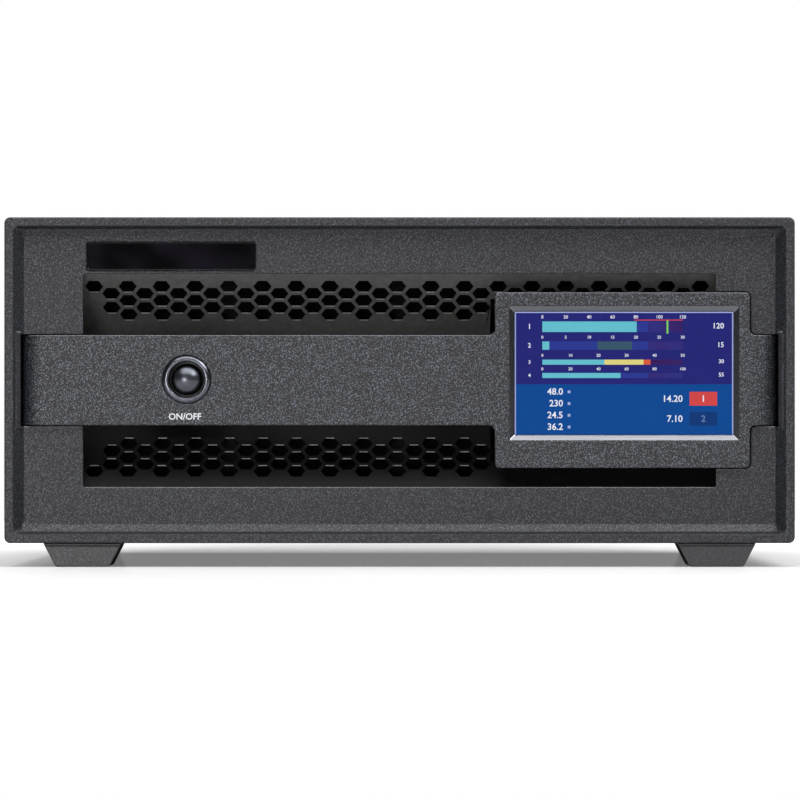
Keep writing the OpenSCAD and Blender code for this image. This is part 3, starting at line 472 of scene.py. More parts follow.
# moulded plastics: the mould's fine texture, satin
plasticBlack = mottled("moulded_black_plastic", "#121214", "#1c1c1f", 1.4, 0.46, 0.0, 0.02, 0.35)
fanPlastic = mottled("glass_filled_plastic", "#17181a", "#222327", 2.0, 0.42, 0.0, 0.012, 0.5)
insulatorWhite = mottled("moulded_insulator", "#d9d6cc", "#efece4", 1.0, 0.34, 0.0, 0.004)
cableSkin = mottled("cable_jacket", "#16161a", "#212126", 1.5, 0.5, 0.0, 0.02, 0.5)
shrinkSleeve = mottled("shrink_sleeve", "#191a20", "#23242c", 4.0, 0.3, 0.0, 0.006, 2.0)
# fired ceramics: grainy and dry
ferriteGrey = mottled("sintered_ferrite", "#26272a", "#37393d", 1.0, 0.62, 0.0, 0.03, 0.3)
ceramicCap = mottled("ceramic_package", "#d8d2c2", "#ece7da", 1.2, 0.5)
# screen-printed ink: flat white with a soft edge
inkWhite = mottled("screen_printed_ink", "#dadce0", "#f3f4f6", 0.5, 0.5, 0.0, 0.004)
# clear epoxy over an unlit lamp: faintly green
lampLens = mottled("epoxy_lamp_lens", "#3d5a3a", "#57784f", 1.0, 0.25, 0.0, 0.002, extra={"Coat Weight": 0.5})
# reticulated polyurethane foam: swallows nearly all light
filterFoam = mottled("reticulated_foam", "#050505", "#0b0b0c", 1.0, 0.9, 0.0, 0.2, 0.6,
    extra={"Specular IOR Level": 0.1})
boardGreen = solderMask("solder_mask_on_glass_epoxy")
finishOf = {
    "case_coat": caseCoat, "circuit_board": boardGreen, "zinc_steel": steelZinc, "nickel": nickelPlate,
    "black_steel": blackSteel, "aluminium": sinkAnodisedAndShade, "copper": copperMilled, "ferrite": ferriteGrey,
    "black_plastic": plasticBlack, "package_ceramic": ceramicCap, "enamel_wire": enamelWire,
    "capacitor_sleeve": shrinkSleeve, "foot_moulding": footPlastic,
}
print("finishes ready", len(bpy.data.materials))


# The raised band with the display bezel, or with play the opening that it stands in
bezel = {"x": 96.8, "halfWidth": 55.4, "halfHeight": 38.15, "corner": 2.0, "fillet": 2.7}
band = {"halfHeight": 19.6, "front": 3.8, "thick": 3, "halfWidth": 164.4, "roll": 10, "tail": 0.5}


def bandOutline(name, start, end, halfWidth, play=0.0):
    piece = addPlate(name, 0, midZ, 2 * halfWidth, 2 * (band["halfHeight"] + play), deep(start), deep(end))
    edit(piece)
    reach = bezel["halfWidth"] + play
    for x in (bezel["x"] - reach, bezel["x"] + reach):
        selectAll()
        bpy.ops.mesh.bisect(plane_co=(x * mm, 0, 0), plane_no=(1, 0, 0))
    rise = bezel["halfHeight"] - band["halfHeight"]
    for side in (1, -1):
        pick(piece, "faces", lambda face: face.normal.z * side > 0.9 and abs(middle(face).x - bezel["x"]) < 1)
        extrude(0, 0, side * rise)
    startFresh()
    corners = ((band["halfHeight"], bezel["fillet"] - play), (bezel["halfHeight"], bezel["corner"] + play))
    for height, radius in corners:
        roundEdges(piece, radius, 6, lambda edge: alongY(edge)
                and abs(abs(middle(edge).z - midZ) - height - play) < 0.05
                and abs(abs(middle(edge).x - bezel["x"]) - reach) < 0.05)
    return piece


# Front surround
surround = {
    "halfWidth": 171.5, "low": 10.2, "high": 151.6, "depth": 24, "rim": 3.8, "corner": 2.6, "outer": 0.9,
    "recess": 6.5, "face": 3, "wall": 3, "window": 137.5, "windowReach": 46.4, "slot": 164.6, "play": 0.4,
    # the recess narrows in stages: how deep each goes, and how far in across and up
    "stages": [(4.3, 2.9, 1.1), (6.5, 4.4, 4.4)], "mitre": 2.0,
    # lips at the band's ends: place across and depth, at their outer and their inner edge
    "lipOut": (166.5, 1.77), "lipIn": (164.6, 3.4), "lipReach": 21,
    "bossX": 156, "bossZ": 58, "bossR": 4.5, "bossEnd": 38.5, "threadR": 1.5, "threadFrom": 20,
    "pocketX": -99.3, "pocketZ": 134.75, "pocketWidth": 73.8, "pocketHeight": 12.7, "pocketDepth": 0.5,
}


def makeSurround():
    s = surround
    back = s["recess"] + s["face"]
    centre = (s["low"] + s["high"]) / 2
    width, height = 2 * s["halfWidth"], s["high"] - s["low"]
    piece = addPlate("front_surround", 0, centre, width, height, deep(0), deep(s["depth"]))
    roundEdges(piece, s["corner"], 8)
    roundEdges(piece, s["outer"], 4, lambda edge: abs(middle(edge).y - deep(0)) < tiny)
    rimW, rimH = width - 2 * s["rim"], height - 2 * s["rim"]
    recess = addPlate("recess", 0, centre, rimW, rimH, deep(-2), deep(0))
    edit(recess)
    pick(recess, "faces", lambda face: face.normal.y > 0.9)
    lastW, lastH, lastDepth = rimW, rimH, 0
    for depth, inX, inZ in s["stages"]:
        newW, newH = rimW - 2 * inX, rimH - 2 * inZ
        extrude(0, depth - lastDepth, 0)
        bpy.ops.transform.resize(value=(newW / lastW, 1, newH / lastH), center_override=(0, 0, centre * mm))
        lastW, lastH, lastDepth = newW, newH, depth
    startFresh()

    def isMitre(edge):
        one, two = (point.co.x / mm for point in edge.verts)
        return abs(one) > 0.45 * rimW and one * two > 0 and not runs(edge, "z") and not runs(edge, "x")

    roundEdges(recess, s["mitre"], 6, isMitre)
    cavity = addPlate("cavity", 0, centre, width - 2 * s["wall"], height - 2 * s["wall"],
            deep(back), deep(s["depth"] + 1))
    roundEdges(cavity, 1.0, 3)
    cut(piece, recess, cavity)
    outX, outD = s["lipOut"]
    inX, inD = s["lipIn"]
    for side in (-1, 1):
        ends = sorted((side * (inX - 0.6), side * (outX + 3)))
        lip = addBlock("lip", (ends[0], deep(outD), midZ - s["lipReach"]),
                (ends[1], deep(back - 0.2), midZ + s["lipReach"]))
        edit(lip)
        selectAll()
        bpy.ops.mesh.bisect(plane_co=(side * inX * mm, deep(inD) * mm, 0), use_fill=True, clear_outer=True,
                plane_no=(-side * (inD - outD), inX - outX, 0))
        cut(piece, lip, operation="UNION")
    for x in (-s["bossX"], s["bossX"]):
        for z in (midZ - s["bossZ"], midZ + s["bossZ"]):
            boss = addRod("boss", s["bossR"], x, z, deep(back - 0.5), deep(s["bossEnd"]), 32)
            cut(piece, boss, operation="UNION")
            thread = addRod("thread", s["threadR"], x, z, deep(s["threadFrom"]), deep(s["bossEnd"] + 1), 16)
            cut(piece, thread)
    window = addPlate("window", 0, midZ, 2 * s["window"], 2 * s["windowReach"], deep(1), deep(back + 1))
    roundEdges(window, 1.0, 3)
    pocket = addPlate("pocket", s["pocketX"], s["pocketZ"], s["pocketWidth"], s["pocketHeight"],
            deep(1), deep(s["recess"] + s["pocketDepth"]))
    roundEdges(pocket, 1.4, 4)
    cut(piece, bandOutline("slot", 1, back + 1, s["slot"], s["play"]), window, pocket)
    finishEdges(piece, 0.35)
    paint(piece, frameCoat, upwardHighlightCoat)

    # faces round the windows and the slot that face upward and forward get the paler coat, as a painted
    # highlight from the light above
    def litFromAbove(face):
        spot = middle(face)
        return (face.normal.y < -0.2 and face.normal.z > 0.35 and face.calc_area() / mm ** 2 > 0.5
                and abs(spot.x) < s["slot"] + 3 and abs(spot.z - midZ) < s["windowReach"] + 0.5
                and spot.y < deep(s["recess"] + 0.4))

    repaint(piece, 1, litFromAbove)
    standFor(piece, "front_frame")


makeSurround()
print("surround ready")

screen = {"x": 97.6, "z": 84.0, "width": 95, "height": 53.4, "bevel": 2.8, "bevelDepth": 2.4}
button = {
    "x": -92.5, "z": 81.2, "hole": 10.6, "holeDepth": 1.4, "collarHole": 9.45,
    "capR": 6.8, "dome": 4.1, "top": 2.4, "arcSteps": 20, "bore": 7.92,
    # from here (radius, depth): the cap below its dome, and the ring from its outer edge over the crown
    "cap": [(6.8, 11.6), (8.5, 11.6), (8.5, 13), (2, 13), (2, 22)],
    "ring": [(10.5, 5.2), (10.5, 4.66), (10.45, 4.56), (10.36, 4.48), (9.4, 3.83), (9.2, 3.73), (9.0, 3.7),
        (8.6, 3.7), (8.42, 3.72), (8.24, 3.8), (8.08, 3.94), (7.96, 4.14), (7.9, 4.4), (7.9, 9), (6.9, 9),
        (6.9, 11.5), (9.4, 11.5), (9.4, 5.2)],
    "spring": {"start": 13.45, "coilR": 2.95, "wireR": 0.36, "pitch": 0.94, "turns": 5, "seat": 18.55,
        "keep": 0.64},
    "label": {"words": "ON/OFF", "size": 3.9, "x": -93.2, "z": 65.0, "depth": 0.06, "weight": 0.05},
}


# The band's front, its rolled ends, the screen's cut bevel and the button's hole
def makeBand():
    flat = band["halfWidth"] - band["roll"]
    back = band["front"] + band["thick"]
    piece = bandOutline("display_band", band["front"], back, flat)
    edit(piece)
    for side in (-1, 1):
        pick(piece, "faces", lambda face: face.normal.x * side > 0.9
                and abs(middle(face).x - side * flat) < 0.1)
        bpy.ops.mesh.spin(steps=12, angle=-side * math.pi / 2, axis=(0, 0, 1),
                center=(side * flat * mm, deep(band["front"] + band["roll"]) * mm, 0))
        extrude(0, band["tail"], 0)
    selectAll()
    bpy.ops.mesh.remove_doubles(threshold=0.001 * mm)
    bpy.ops.mesh.normals_make_consistent(inside=False)
    startFresh()
    tool = addPlate("opening", screen["x"], screen["z"], screen["width"], screen["height"],
            deep(band["front"] + screen["bevelDepth"]), deep(back + 1))
    halfW, halfH = screen["width"] / 2, screen["height"] / 2
    edit(tool)
    pick(tool, "faces", lambda face: face.normal.y < -0.9)
    extrude(0, -screen["bevelDepth"], 0)
    bpy.ops.transform.resize(value=(1 + screen["bevel"] / halfW, 1, 1 + screen["bevel"] / halfH),
            center_override=(screen["x"] * mm, deep(band["front"]) * mm, screen["z"] * mm))
    extrude(0, -1, 0)
    startFresh()
    x, z = button["x"], button["z"]
    cut(piece, tool, addRod("collar", button["collarHole"], x, z, deep(1), deep(back + 1), 72),
            addRod("hole", button["hole"], x, z, deep(1), deep(band["front"] + button["holeDepth"]), 96))
    finishEdges(piece, 0.55, 3)
    paint(piece, bandCoat, cutTrim, upwardHighlightCoat)

    def onBevel(face):
        spot = middle(face)
        return (-0.9 < face.normal.y < -0.5 and spot.y > deep(band["front"] + 0.3)
                and abs(spot.x - screen["x"]) < halfW + screen["bevel"] - 0.2
                and abs(spot.z - screen["z"]) < halfH + screen["bevel"] - 0.2)

    # the band's upward faces along its top edge get the paler coat, as a painted highlight from the light
    # above
    repaint(piece, 2, lambda face: face.normal.y < -0.2 and face.normal.z > 0.35 and abs(face.normal.x) < 0.5
            and middle(face).z > midZ + band["halfHeight"] - 0.6)
    repaint(piece, 1, onBevel)
    standFor(piece, "center_fascia")


makeBand()
print("band ready")


# The button's domed cap with its spring, the raised ring round it, and its label
def makeButton():
    b = button
    x, z = b["x"], b["z"]
    domeR = (b["capR"] ** 2 + b["dome"] ** 2) / (2 * b["dome"])
    edge = math.asin(b["capR"] / domeR)
    angles = [edge * k / b["arcSteps"] for k in range(1, b["arcSteps"] + 1)]
    arc = [(domeR * math.sin(a), b["top"] + domeR * (1 - math.cos(a))) for a in angles]
    cap = finishEdges(turned("push_cap", x, z, deep(0), [(0.05, b["top"])] + arc + b["cap"]))
    standFor(cap, "button_cap", capPolish)
    ring = finishEdges(turned("button_ring", x, z, deep(0), b["ring"], closed=True))
    paint(ring, ringPolish, plasticBlack)
    repaint(ring, 1, lambda face: math.hypot(middle(face).x - x, middle(face).z - z) < b["bore"])
    standFor(ring, "button_bezel")
    s = b["spring"]
    coil = wound("button_coil", x, z, deep(s["start"]), s["coilR"], s["wireR"], s["pitch"], s["turns"])
    standFor(finishEdges(coil), "button_spring", steelZinc)
    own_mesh(coil)
    t = b["label"]
    label = addText("button_label", t["words"], t["size"], (t["x"], deep(band["front"]) - 0.02, t["z"]),
            t["depth"], t["weight"])
    addPiece(label, inkWhite)


makeButton()

# The blank domed label in its pocket
badge = {"x": -99.3, "z": 134.75, "width": 73.2, "height": 12.1, "front": 5.9, "back": 7.0}


def makeBadge():
    g = badge
    front, back = deep(g["front"]), deep(g["back"])
    piece = addPlate("domed_badge", g["x"], g["z"], g["width"], g["height"], front, back)
    roundEdges(piece, 1.1, 5)
    roundEdges(piece, 0.5, 5, lambda edge: abs(middle(edge).y - front) < tiny)
    standFor(finishEdges(piece), "badge_plate", domedResin)


makeBadge()
print("button and badge ready")

# The display: its cover window, and behind it the panel with generic bars and numbers. Places on the
# screen are in mm from its lower left corner.
display = {
    "lens": (6.9, 8.1), "overlap": 2.5, "panel": (8.42, 12.1), "panelSize": (104, 65), "panelDrop": 0.6,
    "sheet": 8.36, "ink": 8.28, "topInk": 8.2, "split": 0.41, "track": 12, "trackWidth": 61, "plum": 15,
    # each bar's height on the screen, its thickness, and its coloured lengths
    "bars": [(44.6, 4.6, [("cyan", 0, 41)]), (36.9, 3.6, [("cyan", 0, 3), ("olive", 24, 15)]),
        (30.4, 2.2, [("cyan", 0, 27), ("yellow", 27, 17), ("orange", 44, 3)]),
        (24.6, 2.2, [("cyan", 0, 34)])],
    # each scale's height, number of steps, value of a step and size of its figures
    "scales": [(51.1, 6, 20, 2.0), (42.3, 6, 5, 1.8), (34.4, 5, 10, 1.8), (28.5, 5, 20, 1.8)],
    "marks": [("red", 52, 49.6, 21, 0.4), ("green", 66, 43.9, 0.8, 6.0)],
    "names": [("1", 46.9, 3.2), ("2", 38.7, 2.8), ("3", 31.5, 2.2), ("4", 25.7, 2.2)],
    "values": [("120", 47.2, 3.4), ("15", 39.0, 3.0), ("30", 31.8, 2.4), ("55", 26.0, 2.4)],
    "readouts": ["48.0", "230", "24.5", "36.2"], "readoutStep": 5.1, "boxSize": (12.0, 6.0),
    "boxes": [("red", 12.6, "1", "white", "14.20"), ("navy", 3.9, "2", "slate", "7.10")],
    # where these start across the screen, and for readouts and dots the first one's height
    "nameAt": 6.4, "valueAt": 91, "readoutAt": (21, 18.6), "dotAt": (23, 18.0), "boxAt": 76, "boxNameAt": 82,
    "boxValueAt": 73, "boxRise": 2.9, "figure": 4.0, "dot": 1.2, "edge": 0.5,
    "codes": {
        "indigo": "#27287a", "blue": "#0d4c98", "cyan": "#69c6d6", "olive": "#3c5a6e", "yellow": "#ebdd86",
        "orange": "#e1603f", "track": "#2e3c96", "plum": "#3d1a5c", "red": "#dc4b4b", "green": "#7fd46a",
        "navy": "#123b7c", "slate": "#6d86b8", "pale": "#a9b6e6", "white": "#f2f5ff"},
}


def makeDisplay():
    d = display
    x, z, width, height = screen["x"], screen["z"], screen["width"], screen["height"]
    lens = addPlate("display_window", x, z, width + 2 * d["overlap"], height + 2 * d["overlap"],
            deep(d["lens"][0]), deep(d["lens"][1]))
    roundEdges(lens, 1.5, 4)
    standFor(finishEdges(lens, 0.2), "display_lens", lensClear)
    front, back = d["panel"]
    panel = addPlate("display_panel", x, z - d["panelDrop"], *d["panelSize"], deep(front), deep(back))
    standFor(finishEdges(panel, 0.4), "display_module", plasticBlack)
    left, low = x - width / 2, z - height / 2
    made = {}

    def ink(colour, across, up, wide, high, layer="topInk"):
        start = (left + across, deep(d[layer]), low + up)
        end = (start[0] + wide, deep(d[layer] + 0.05), start[2] + high)
        made.setdefault(colour, []).append(addBlock("ink", start, end))

    def number(words, across, up, size, align="CENTER", colour="white"):
        spot = (left + across, deep(d["topInk"]) + 0.02, low + up)
        made.setdefault(colour, []).append(addText("digits", words, size, spot, 0.04, 0.015 * size, align))

    split = height * d["split"]
    ink("indigo", 0, split, width, height - split, "sheet")
    ink("blue", 0, 0, width, split, "sheet")
    # two broad bars and two thin ones, each on its dim track, with its scale above it
    for up, thick, parts in d["bars"]:
        ink("track", d["track"], up, d["trackWidth"], thick, "ink")
        ink("plum", d["track"] + d["trackWidth"] - d["plum"], up, d["plum"], thick, "ink")
        for colour, start, length in parts:
            ink(colour, d["track"] + start, up, length, thick)
    for up, count, value, size in d["scales"]:
        for k in range(count + 1):
            number(str(k * value), d["track"] + k * d["trackWidth"] / count, up, size)
    for mark in d["marks"]:
        ink(*mark)
    for words, up, size in d["names"]:
        number(words, d["nameAt"], up, size)
    for words, up, size in d["values"]:
        number(words, d["valueAt"], up, size, "RIGHT")
    # below: readouts at the left, and at the right a red and a dark box with their numbers
    for k, words in enumerate(d["readouts"]):
        drop = k * d["readoutStep"]
        number(words, d["readoutAt"][0], d["readoutAt"][1] - drop, d["figure"], "RIGHT")
        ink("pale", d["dotAt"][0], d["dotAt"][1] - drop, d["dot"], d["dot"])
    for colour, up, name, nameColour, reading in d["boxes"]:
        ink(colour, d["boxAt"], up, *d["boxSize"], "ink")
        number(name, d["boxNameAt"], up + d["boxRise"], d["figure"], colour=nameColour)
        number(reading, d["boxValueAt"], up + d["boxRise"], d["figure"], "RIGHT")
    ink("pale", 0, height - d["edge"], width, d["edge"])
    for across in (0, width - d["edge"]):
        ink("pale", across, 0, d["edge"], height)
    for colour, parts in made.items():
        addPiece(joinAll("lit_" + colour, parts), litInk("lit_" + colour, d["codes"][colour]))


makeDisplay()
print("display ready")

# The punched intake sheets: where their holes lie, and the largest face that is a hole's wall, in mm and mm2
intake = {"nearest": 20.5, "farthest": 46.8, "reach": 136.5, "wall": 8}


def makeIntake(node, side):
    piece = copyNode(node, node.replace("grille", "intake"))
    finishEdges(piece, 0.12, 1)
    # the upper sheet gets the copy painted lighter, the lower sheet the copy painted darker: painted light
    # and shade on one paint
    paint(piece, upperIntakePaintedLight if side > 0 else lowerIntakePaintedShade, punchedEdgeAndHighlight)
    outward = Vector((0, -math.sqrt(0.5), -side * math.sqrt(0.5)))

    def isHoleWall(face):
        spot = middle(face)
        return (abs(face.normal.dot(outward)) < 0.3 and abs(face.normal.x) < 0.3
                and intake["nearest"] < abs(spot.z - midZ) < intake["farthest"]
                and abs(spot.x) < intake["reach"] and face.calc_area() / mm ** 2 < intake["wall"])

    # the hole walls get the pale finish: bare punched edges, and painted highlight as well
    repaint(piece, 1, isHoleWall)
    standFor(piece, node)


makeIntake("upper_grille", 1)
makeIntake("lower_grille", -1)
print("intakes ready")

# Foam pads that keep dust out, behind the air windows of the inner panel
pad = {
    "x": (-112.5, -37.5, 37.5, 112.5), "rise": 37, "width": 71, "height": 33, "front": -159.95, "thick": 1.6,
    "cell": 1.5, "relief": 0.5, "cut": 3.0,
}


def makePads():
    f = pad
    made = []
    for x in f["x"]:
        for z in (midZ - f["rise"], midZ + f["rise"]):
            piece = addPlate("foam_pad", x, z, f["width"], f["height"], f["front"], f["front"] + f["thick"])
            edit(piece)
            for axis, size, centre in ((0, f["width"], x), (2, f["height"], z)):
                for k in range(1, int(size / f["cut"])):
                    plane = [0, 0, 0]
                    plane[axis] = (centre - size / 2 + k * f["cut"]) * mm
                    selectAll()
                    bpy.ops.mesh.bisect(plane_co=plane, plane_no=[1 if i == axis else 0 for i in range(3)])
            startFresh()
            made.append(piece)
    piece = joinAll("dust_pads", made)
    cells = bpy.data.textures.new("foam_cells", "CLOUDS")
    cells.noise_scale = f["cell"] * mm
    applyStep(piece, "DISPLACE", texture=cells, strength=f["relief"] * mm, mid_level=0.6,
            texture_coords="GLOBAL")
    addPiece(piece, filterFoam)


makePads()
print("dust pads ready")

# Fan rotors: a hub and seven blades, each a bar swept along a helix
fan = {
    "z": 56, "front": 157.5, "hub": 17.5, "tip": 37.2, "blades": 7, "start": 3.2, "rise": 15.6, "sweep": 58,
    "thick": 1.5, "steps": 12, "places": {"fan_rotor_left": -35, "fan_rotor_right": 47},
    "hubShape": [(0.05, 2), (14.5, 2), (16.4, 2.4), (17.3, 3.4), (17.5, 4.6), (17.5, 21.4), (15.5, 21.4),
        (15.5, 5), (2, 5), (2, 20), (0.05, 20)],
}


def makeRotor(node, x):
    f = fan
    y, z = f["front"], f["z"]
    hub = turned(node + "_hub", x, z, y, f["hubShape"], 72)
    startFresh()
    bpy.ops.mesh.primitive_plane_add(size=1, location=(0, 0, 0))
    blade = bpy.context.object
    blade.scale = ((f["tip"] - f["hub"] + 1) * mm, f["thick"] * mm, 1)
    blade.location = ((f["tip"] + f["hub"] - 1) / 2 * mm, 0, 0)
    place(node + "_blades")
    edit(blade)
    selectAll()
    bpy.ops.mesh.subdivide(number_cuts=3)
    applyStep(blade, "SCREW", axis="Y", angle=math.radians(f["sweep"]), screw_offset=f["rise"] * mm,
            steps=f["steps"], render_steps=f["steps"])
    edit(blade)
    selectAll()
    bpy.ops.mesh.remove_doubles(threshold=0.001 * mm)
    bpy.ops.transform.translate(value=(x * mm, (y + f["start"] + f["thick"] / 2) * mm, z * mm))
    bpy.ops.mesh.normals_make_consistent(inside=False)
    turn = 2 * math.pi / f["blades"]
    bpy.ops.mesh.spin(steps=f["blades"] - 1, dupli=True, angle=turn * (f["blades"] - 1), axis=(0, 1, 0),
            center=(x * mm, y * mm, z * mm))
    startFresh()
    piece = joinAll(node + "_shape", [finishEdges(hub), finishEdges(blade, 0.3, 2)])
    standFor(piece, node, fanPlastic)


for node, x in fan["places"].items():
    makeRotor(node, x)
print("fans ready")

# Coax sockets: profiles as (radius, distance behind the rear panel)
socket = {
    "x": 116, "z": 60, "steps": [(33, 0), (0, 46), (33, 46)], "flange": 25.4, "thick": 1.6, "screwAt": 9.15,
    "screwR": 1.6,
    "barrel": [(7.94, -5.5), (7.94, 2.7), (7.74, 2.9), (7.1, 3.2), (7.1, 13), (6.4, 14), (6.25, 13.8),
        (6.25, -5.5)],
    "thread": {"start": 3.8, "coilR": 7.22, "wireR": 0.6, "pitch": 1.058, "turns": 9},
    "pin": [(0.05, -13.5), (1.3, -13.5), (1.6, -13), (1.6, -5), (0.05, -5)],
    "core": [(0.05, -5), (6.2, -5), (6.2, 10.8), (6.0, 11), (3.1, 11), (2.9, 11.2), (2.9, 13.4), (2.5, 13.9),
        (2.2, 13.9), (2.05, 13.6), (2.0, 5), (0.05, 5)],
    "contact": [(1.96, 5.2), (1.96, 12.9), (1.8, 13.2), (1.6, 13.2), (1.45, 12.9), (1.45, 5.2)],
}


def makeSockets():
    k, t = socket, socket["thread"]
    x, z = k["x"], k["z"]
    flange = addPlate("flange", x, z, k["flange"], k["flange"], rearY, rearY + k["thick"])
    roundEdges(flange, 1.5, 4)
    for dx in (-k["screwAt"], k["screwAt"]):
        for dz in (-k["screwAt"], k["screwAt"]):
            cut(flange, addRod("hole", k["screwR"], x + dx, z + dz, rearY - 1, rearY + 3, 24))
    barrel = turned("barrel", x, z, rearY, k["barrel"], 64, closed=True)
    thread = wound("thread", x, z, rearY + t["start"], t["coilR"], t["wireR"], t["pitch"], t["turns"], 4, 32)
    pin = turned("pin", x, z, rearY, k["pin"], 24)
    parts = [finishEdges(flange, 0.25), finishEdges(barrel), finishEdges(thread), finishEdges(pin)]
    shell = joinAll("socket_shells", [copy for part in parts for copy in spread(part, k["steps"])])
    standFor(shell, "rf_sockets", nickelPlate)
    core = finishEdges(turned("socket_cores", x, z, rearY, k["core"], 48))
    addPiece(joinAll("socket_cores", spread(core, k["steps"])), insulatorWhite)
    contact = finishEdges(turned("socket_contacts", x, z, rearY, k["contact"], 32, closed=True))
    addPiece(joinAll("socket_contacts", spread(contact, k["steps"])), goldPlate)


makeSockets()

# The small connectors above the fans, the ground stud and the rocker's marks; profiles as for the sockets
jacks = {
    "z": 121.6, "keys": (40, 54, 68, 82), "port": -5, "portSize": (23.4, 7), "pitch": 2.77, "row": 1.42,
    "insert": [(2.54, 1.8), (2.54, 8.7), (2.35, 8.96), (1.8, 8.96), (1.62, 8.7), (1.62, 2)],
    "tube": [(0.7, 5.45), (0.7, 6.05), (0.62, 6.12), (0.42, 6.12), (0.42, 5.45)],
    "lan": -52, "board": 113.6, "wires": 8, "wireStep": 1.02, "lampStep": 11.6,
    "stud": {"x": 132, "z": 27, "start": 6.6, "coilR": 2.84, "wireR": 0.34, "pitch": 0.8, "turns": 11},
    "rockerX": -128, "ringZ": 91.12, "ring": [(2.3, 2.82), (2.3, 2.96), (1.7, 2.96), (1.7, 2.82)],
}


# A block placed from the middle of the network jack's foot on the rear panel
def lanBlock(name, low, high, tilt=0):
    foot = (jacks["lan"], rearY, jacks["board"])
    return addBlock(name, [a + b for a, b in zip(foot, low)], [a + b for a, b in zip(foot, high)], tilt)


def makeSmallJacks():
    j = jacks
    insert = finishEdges(turned("phono_inserts", j["keys"][0], j["z"], rearY, j["insert"], 32, closed=True))
    insert = joinAll("phono_inserts", spread(insert, [(x - j["keys"][0], 0) for x in j["keys"][1:]]))
    addPiece(insert, insulatorWhite)
    face = addPlate("port_insulator", j["port"], j["z"], *j["portSize"], rearY + 5, rearY + 6.26)
    roundEdges(face, 1.6, 4)
    places = [(j["port"] - 9.7 + k * j["pitch"], j["z"] + j["row"]) for k in range(8)]
    places += [(j["port"] - 8.3 + k * j["pitch"], j["z"] - j["row"]) for k in range(7)]
    for x, z in places:
        cut(face, addRod("hole", 0.75, x, z, rearY + 5.4, rearY + 7, 16))
    addPiece(finishEdges(face, 0.1, 1), plasticBlack)
    firstX, firstZ = places[0]
    tube = finishEdges(turned("port_contacts", firstX, firstZ, rearY, j["tube"], 16, closed=True))
    tube = joinAll("port_contacts", spread(tube, [(x - firstX, z - firstZ) for x, z in places[1:]]))
    addPiece(tube, goldPlate)
    shield = lanBlock("network_shield", (-9.7, -2.5, 0.1), (9.7, -1.6, 15.4))
    cut(shield, lanBlock("hole", (-8, -4, -1), (8, 0, 13.4)))
    addPiece(finishEdges(shield, 0.15, 1), nickelPlate)
    liner = lanBlock("network_liner", (-5.88, -11.9, 3.93), (5.88, 0.1, 10.88))
    cut(liner, lanBlock("hole", (-5.4, -11, 3.5), (5.4, 1, 10.4)))
    addPiece(finishEdges(liner, 0.1, 1), plasticBlack)
    wire = finishEdges(lanBlock("network_contacts", (-3.77, -8.6, 9.15), (-3.37, -0.6, 9.45), -14), 0.08, 1)
    wire = joinAll("network_contacts", spread(wire, [(k * j["wireStep"], 0) for k in range(1, j["wires"])]))
    addPiece(wire, goldPlate)
    lamp = finishEdges(lanBlock("network_lamps", (-7.2, 0.2, 11.3), (-4.4, 0.45, 12.6)), 0.1, 2)
    addPiece(joinAll("network_lamps", spread(lamp, [(j["lampStep"], 0)])), lampLens)
    t = j["stud"]
    thread = wound("stud_thread", t["x"], t["z"], rearY + t["start"], t["coilR"], t["wireR"], t["pitch"],
            t["turns"], 4, 24)
    addPiece(finishEdges(thread), nickelPlate)
    # the plain line and ring on the two halves of the rocker
    x = j["rockerX"]
    ring = finishEdges(turned("rocker_ring", x, j["ringZ"], rearY, j["ring"], 40, closed=True))
    line = addBlock("rocker_line", (x - 0.35, rearY + 4.84, 100.15), (x + 0.35, rearY + 4.96, 104.75), -20)
    addPiece(joinAll("rocker_marks", [ring, finishEdges(line)]), inkWhite, "rocker")


makeSmallJacks()
print("rear connectors ready")

# What keeps its plain shape gets its edges broken, by nodes that share the round's width and segments
eased = [
    (0.5, 3, ["foot_front_left", "foot_front_right", "foot_rear_left", "foot_rear_right"]),
    (0.3, 2, ["top_cover", "bottom_chassis"]), (0.25, 2, ["rear_panel"]), (0.2, 1, ["front_subpanel"]),
    (0.12, 2, ["cover_screws"]), (0.2, 2, ["rear_screws"]), (0.25, 2, ["fan_screws"]),
    (0.2, 2, ["foot_screws", "front_screws"]), (0.2, 1, ["fascia_posts", "display_carrier"]),
    (0.15, 1, ["display_board", "button_board"]), (0.3, 2, ["button_switch"]), (0.2, 1, ["heatsink"]),
    (0.5, 2, ["heat_spreader"]), (0.15, 1, ["rf_board"]), (0.2, 2, ["rf_transistors"]),
    (0.8, 3, ["rf_transformers"]), (0.2, 1, ["air_duct"]), (0.15, 1, ["filter_board"]),
    (0.0, 1, ["filter_inductors"]), (0.5, 2, ["filter_relays"]), (1.2, 3, ["filter_capacitors"]),
    (0.2, 1, ["rf_shield"]), (0.5, 2, ["fan_frame_left", "fan_frame_right"]), (0.0, 1, ["fan_guards"]),
    (0.3, 2, ["supply_case"]), (0.15, 1, ["supply_board"]), (0.8, 3, ["supply_transformer"]),
    (1.0, 3, ["supply_capacitors"]), (1.2, 3, ["mains_filter"]), (0.15, 1, ["control_board"]),
    (0.3, 2, ["network_jack"]), (0.25, 2, ["accessory_port", "keying_jacks"]), (0.3, 2, ["ground_terminal"]),
    (0.5, 3, ["mains_inlet"]), (0.4, 2, ["inlet_pins"]), (0.4, 3, ["mains_switch_body"]),
    (0.6, 3, ["mains_rocker"]), (0.2, 1, ["internal_cables"]),
]
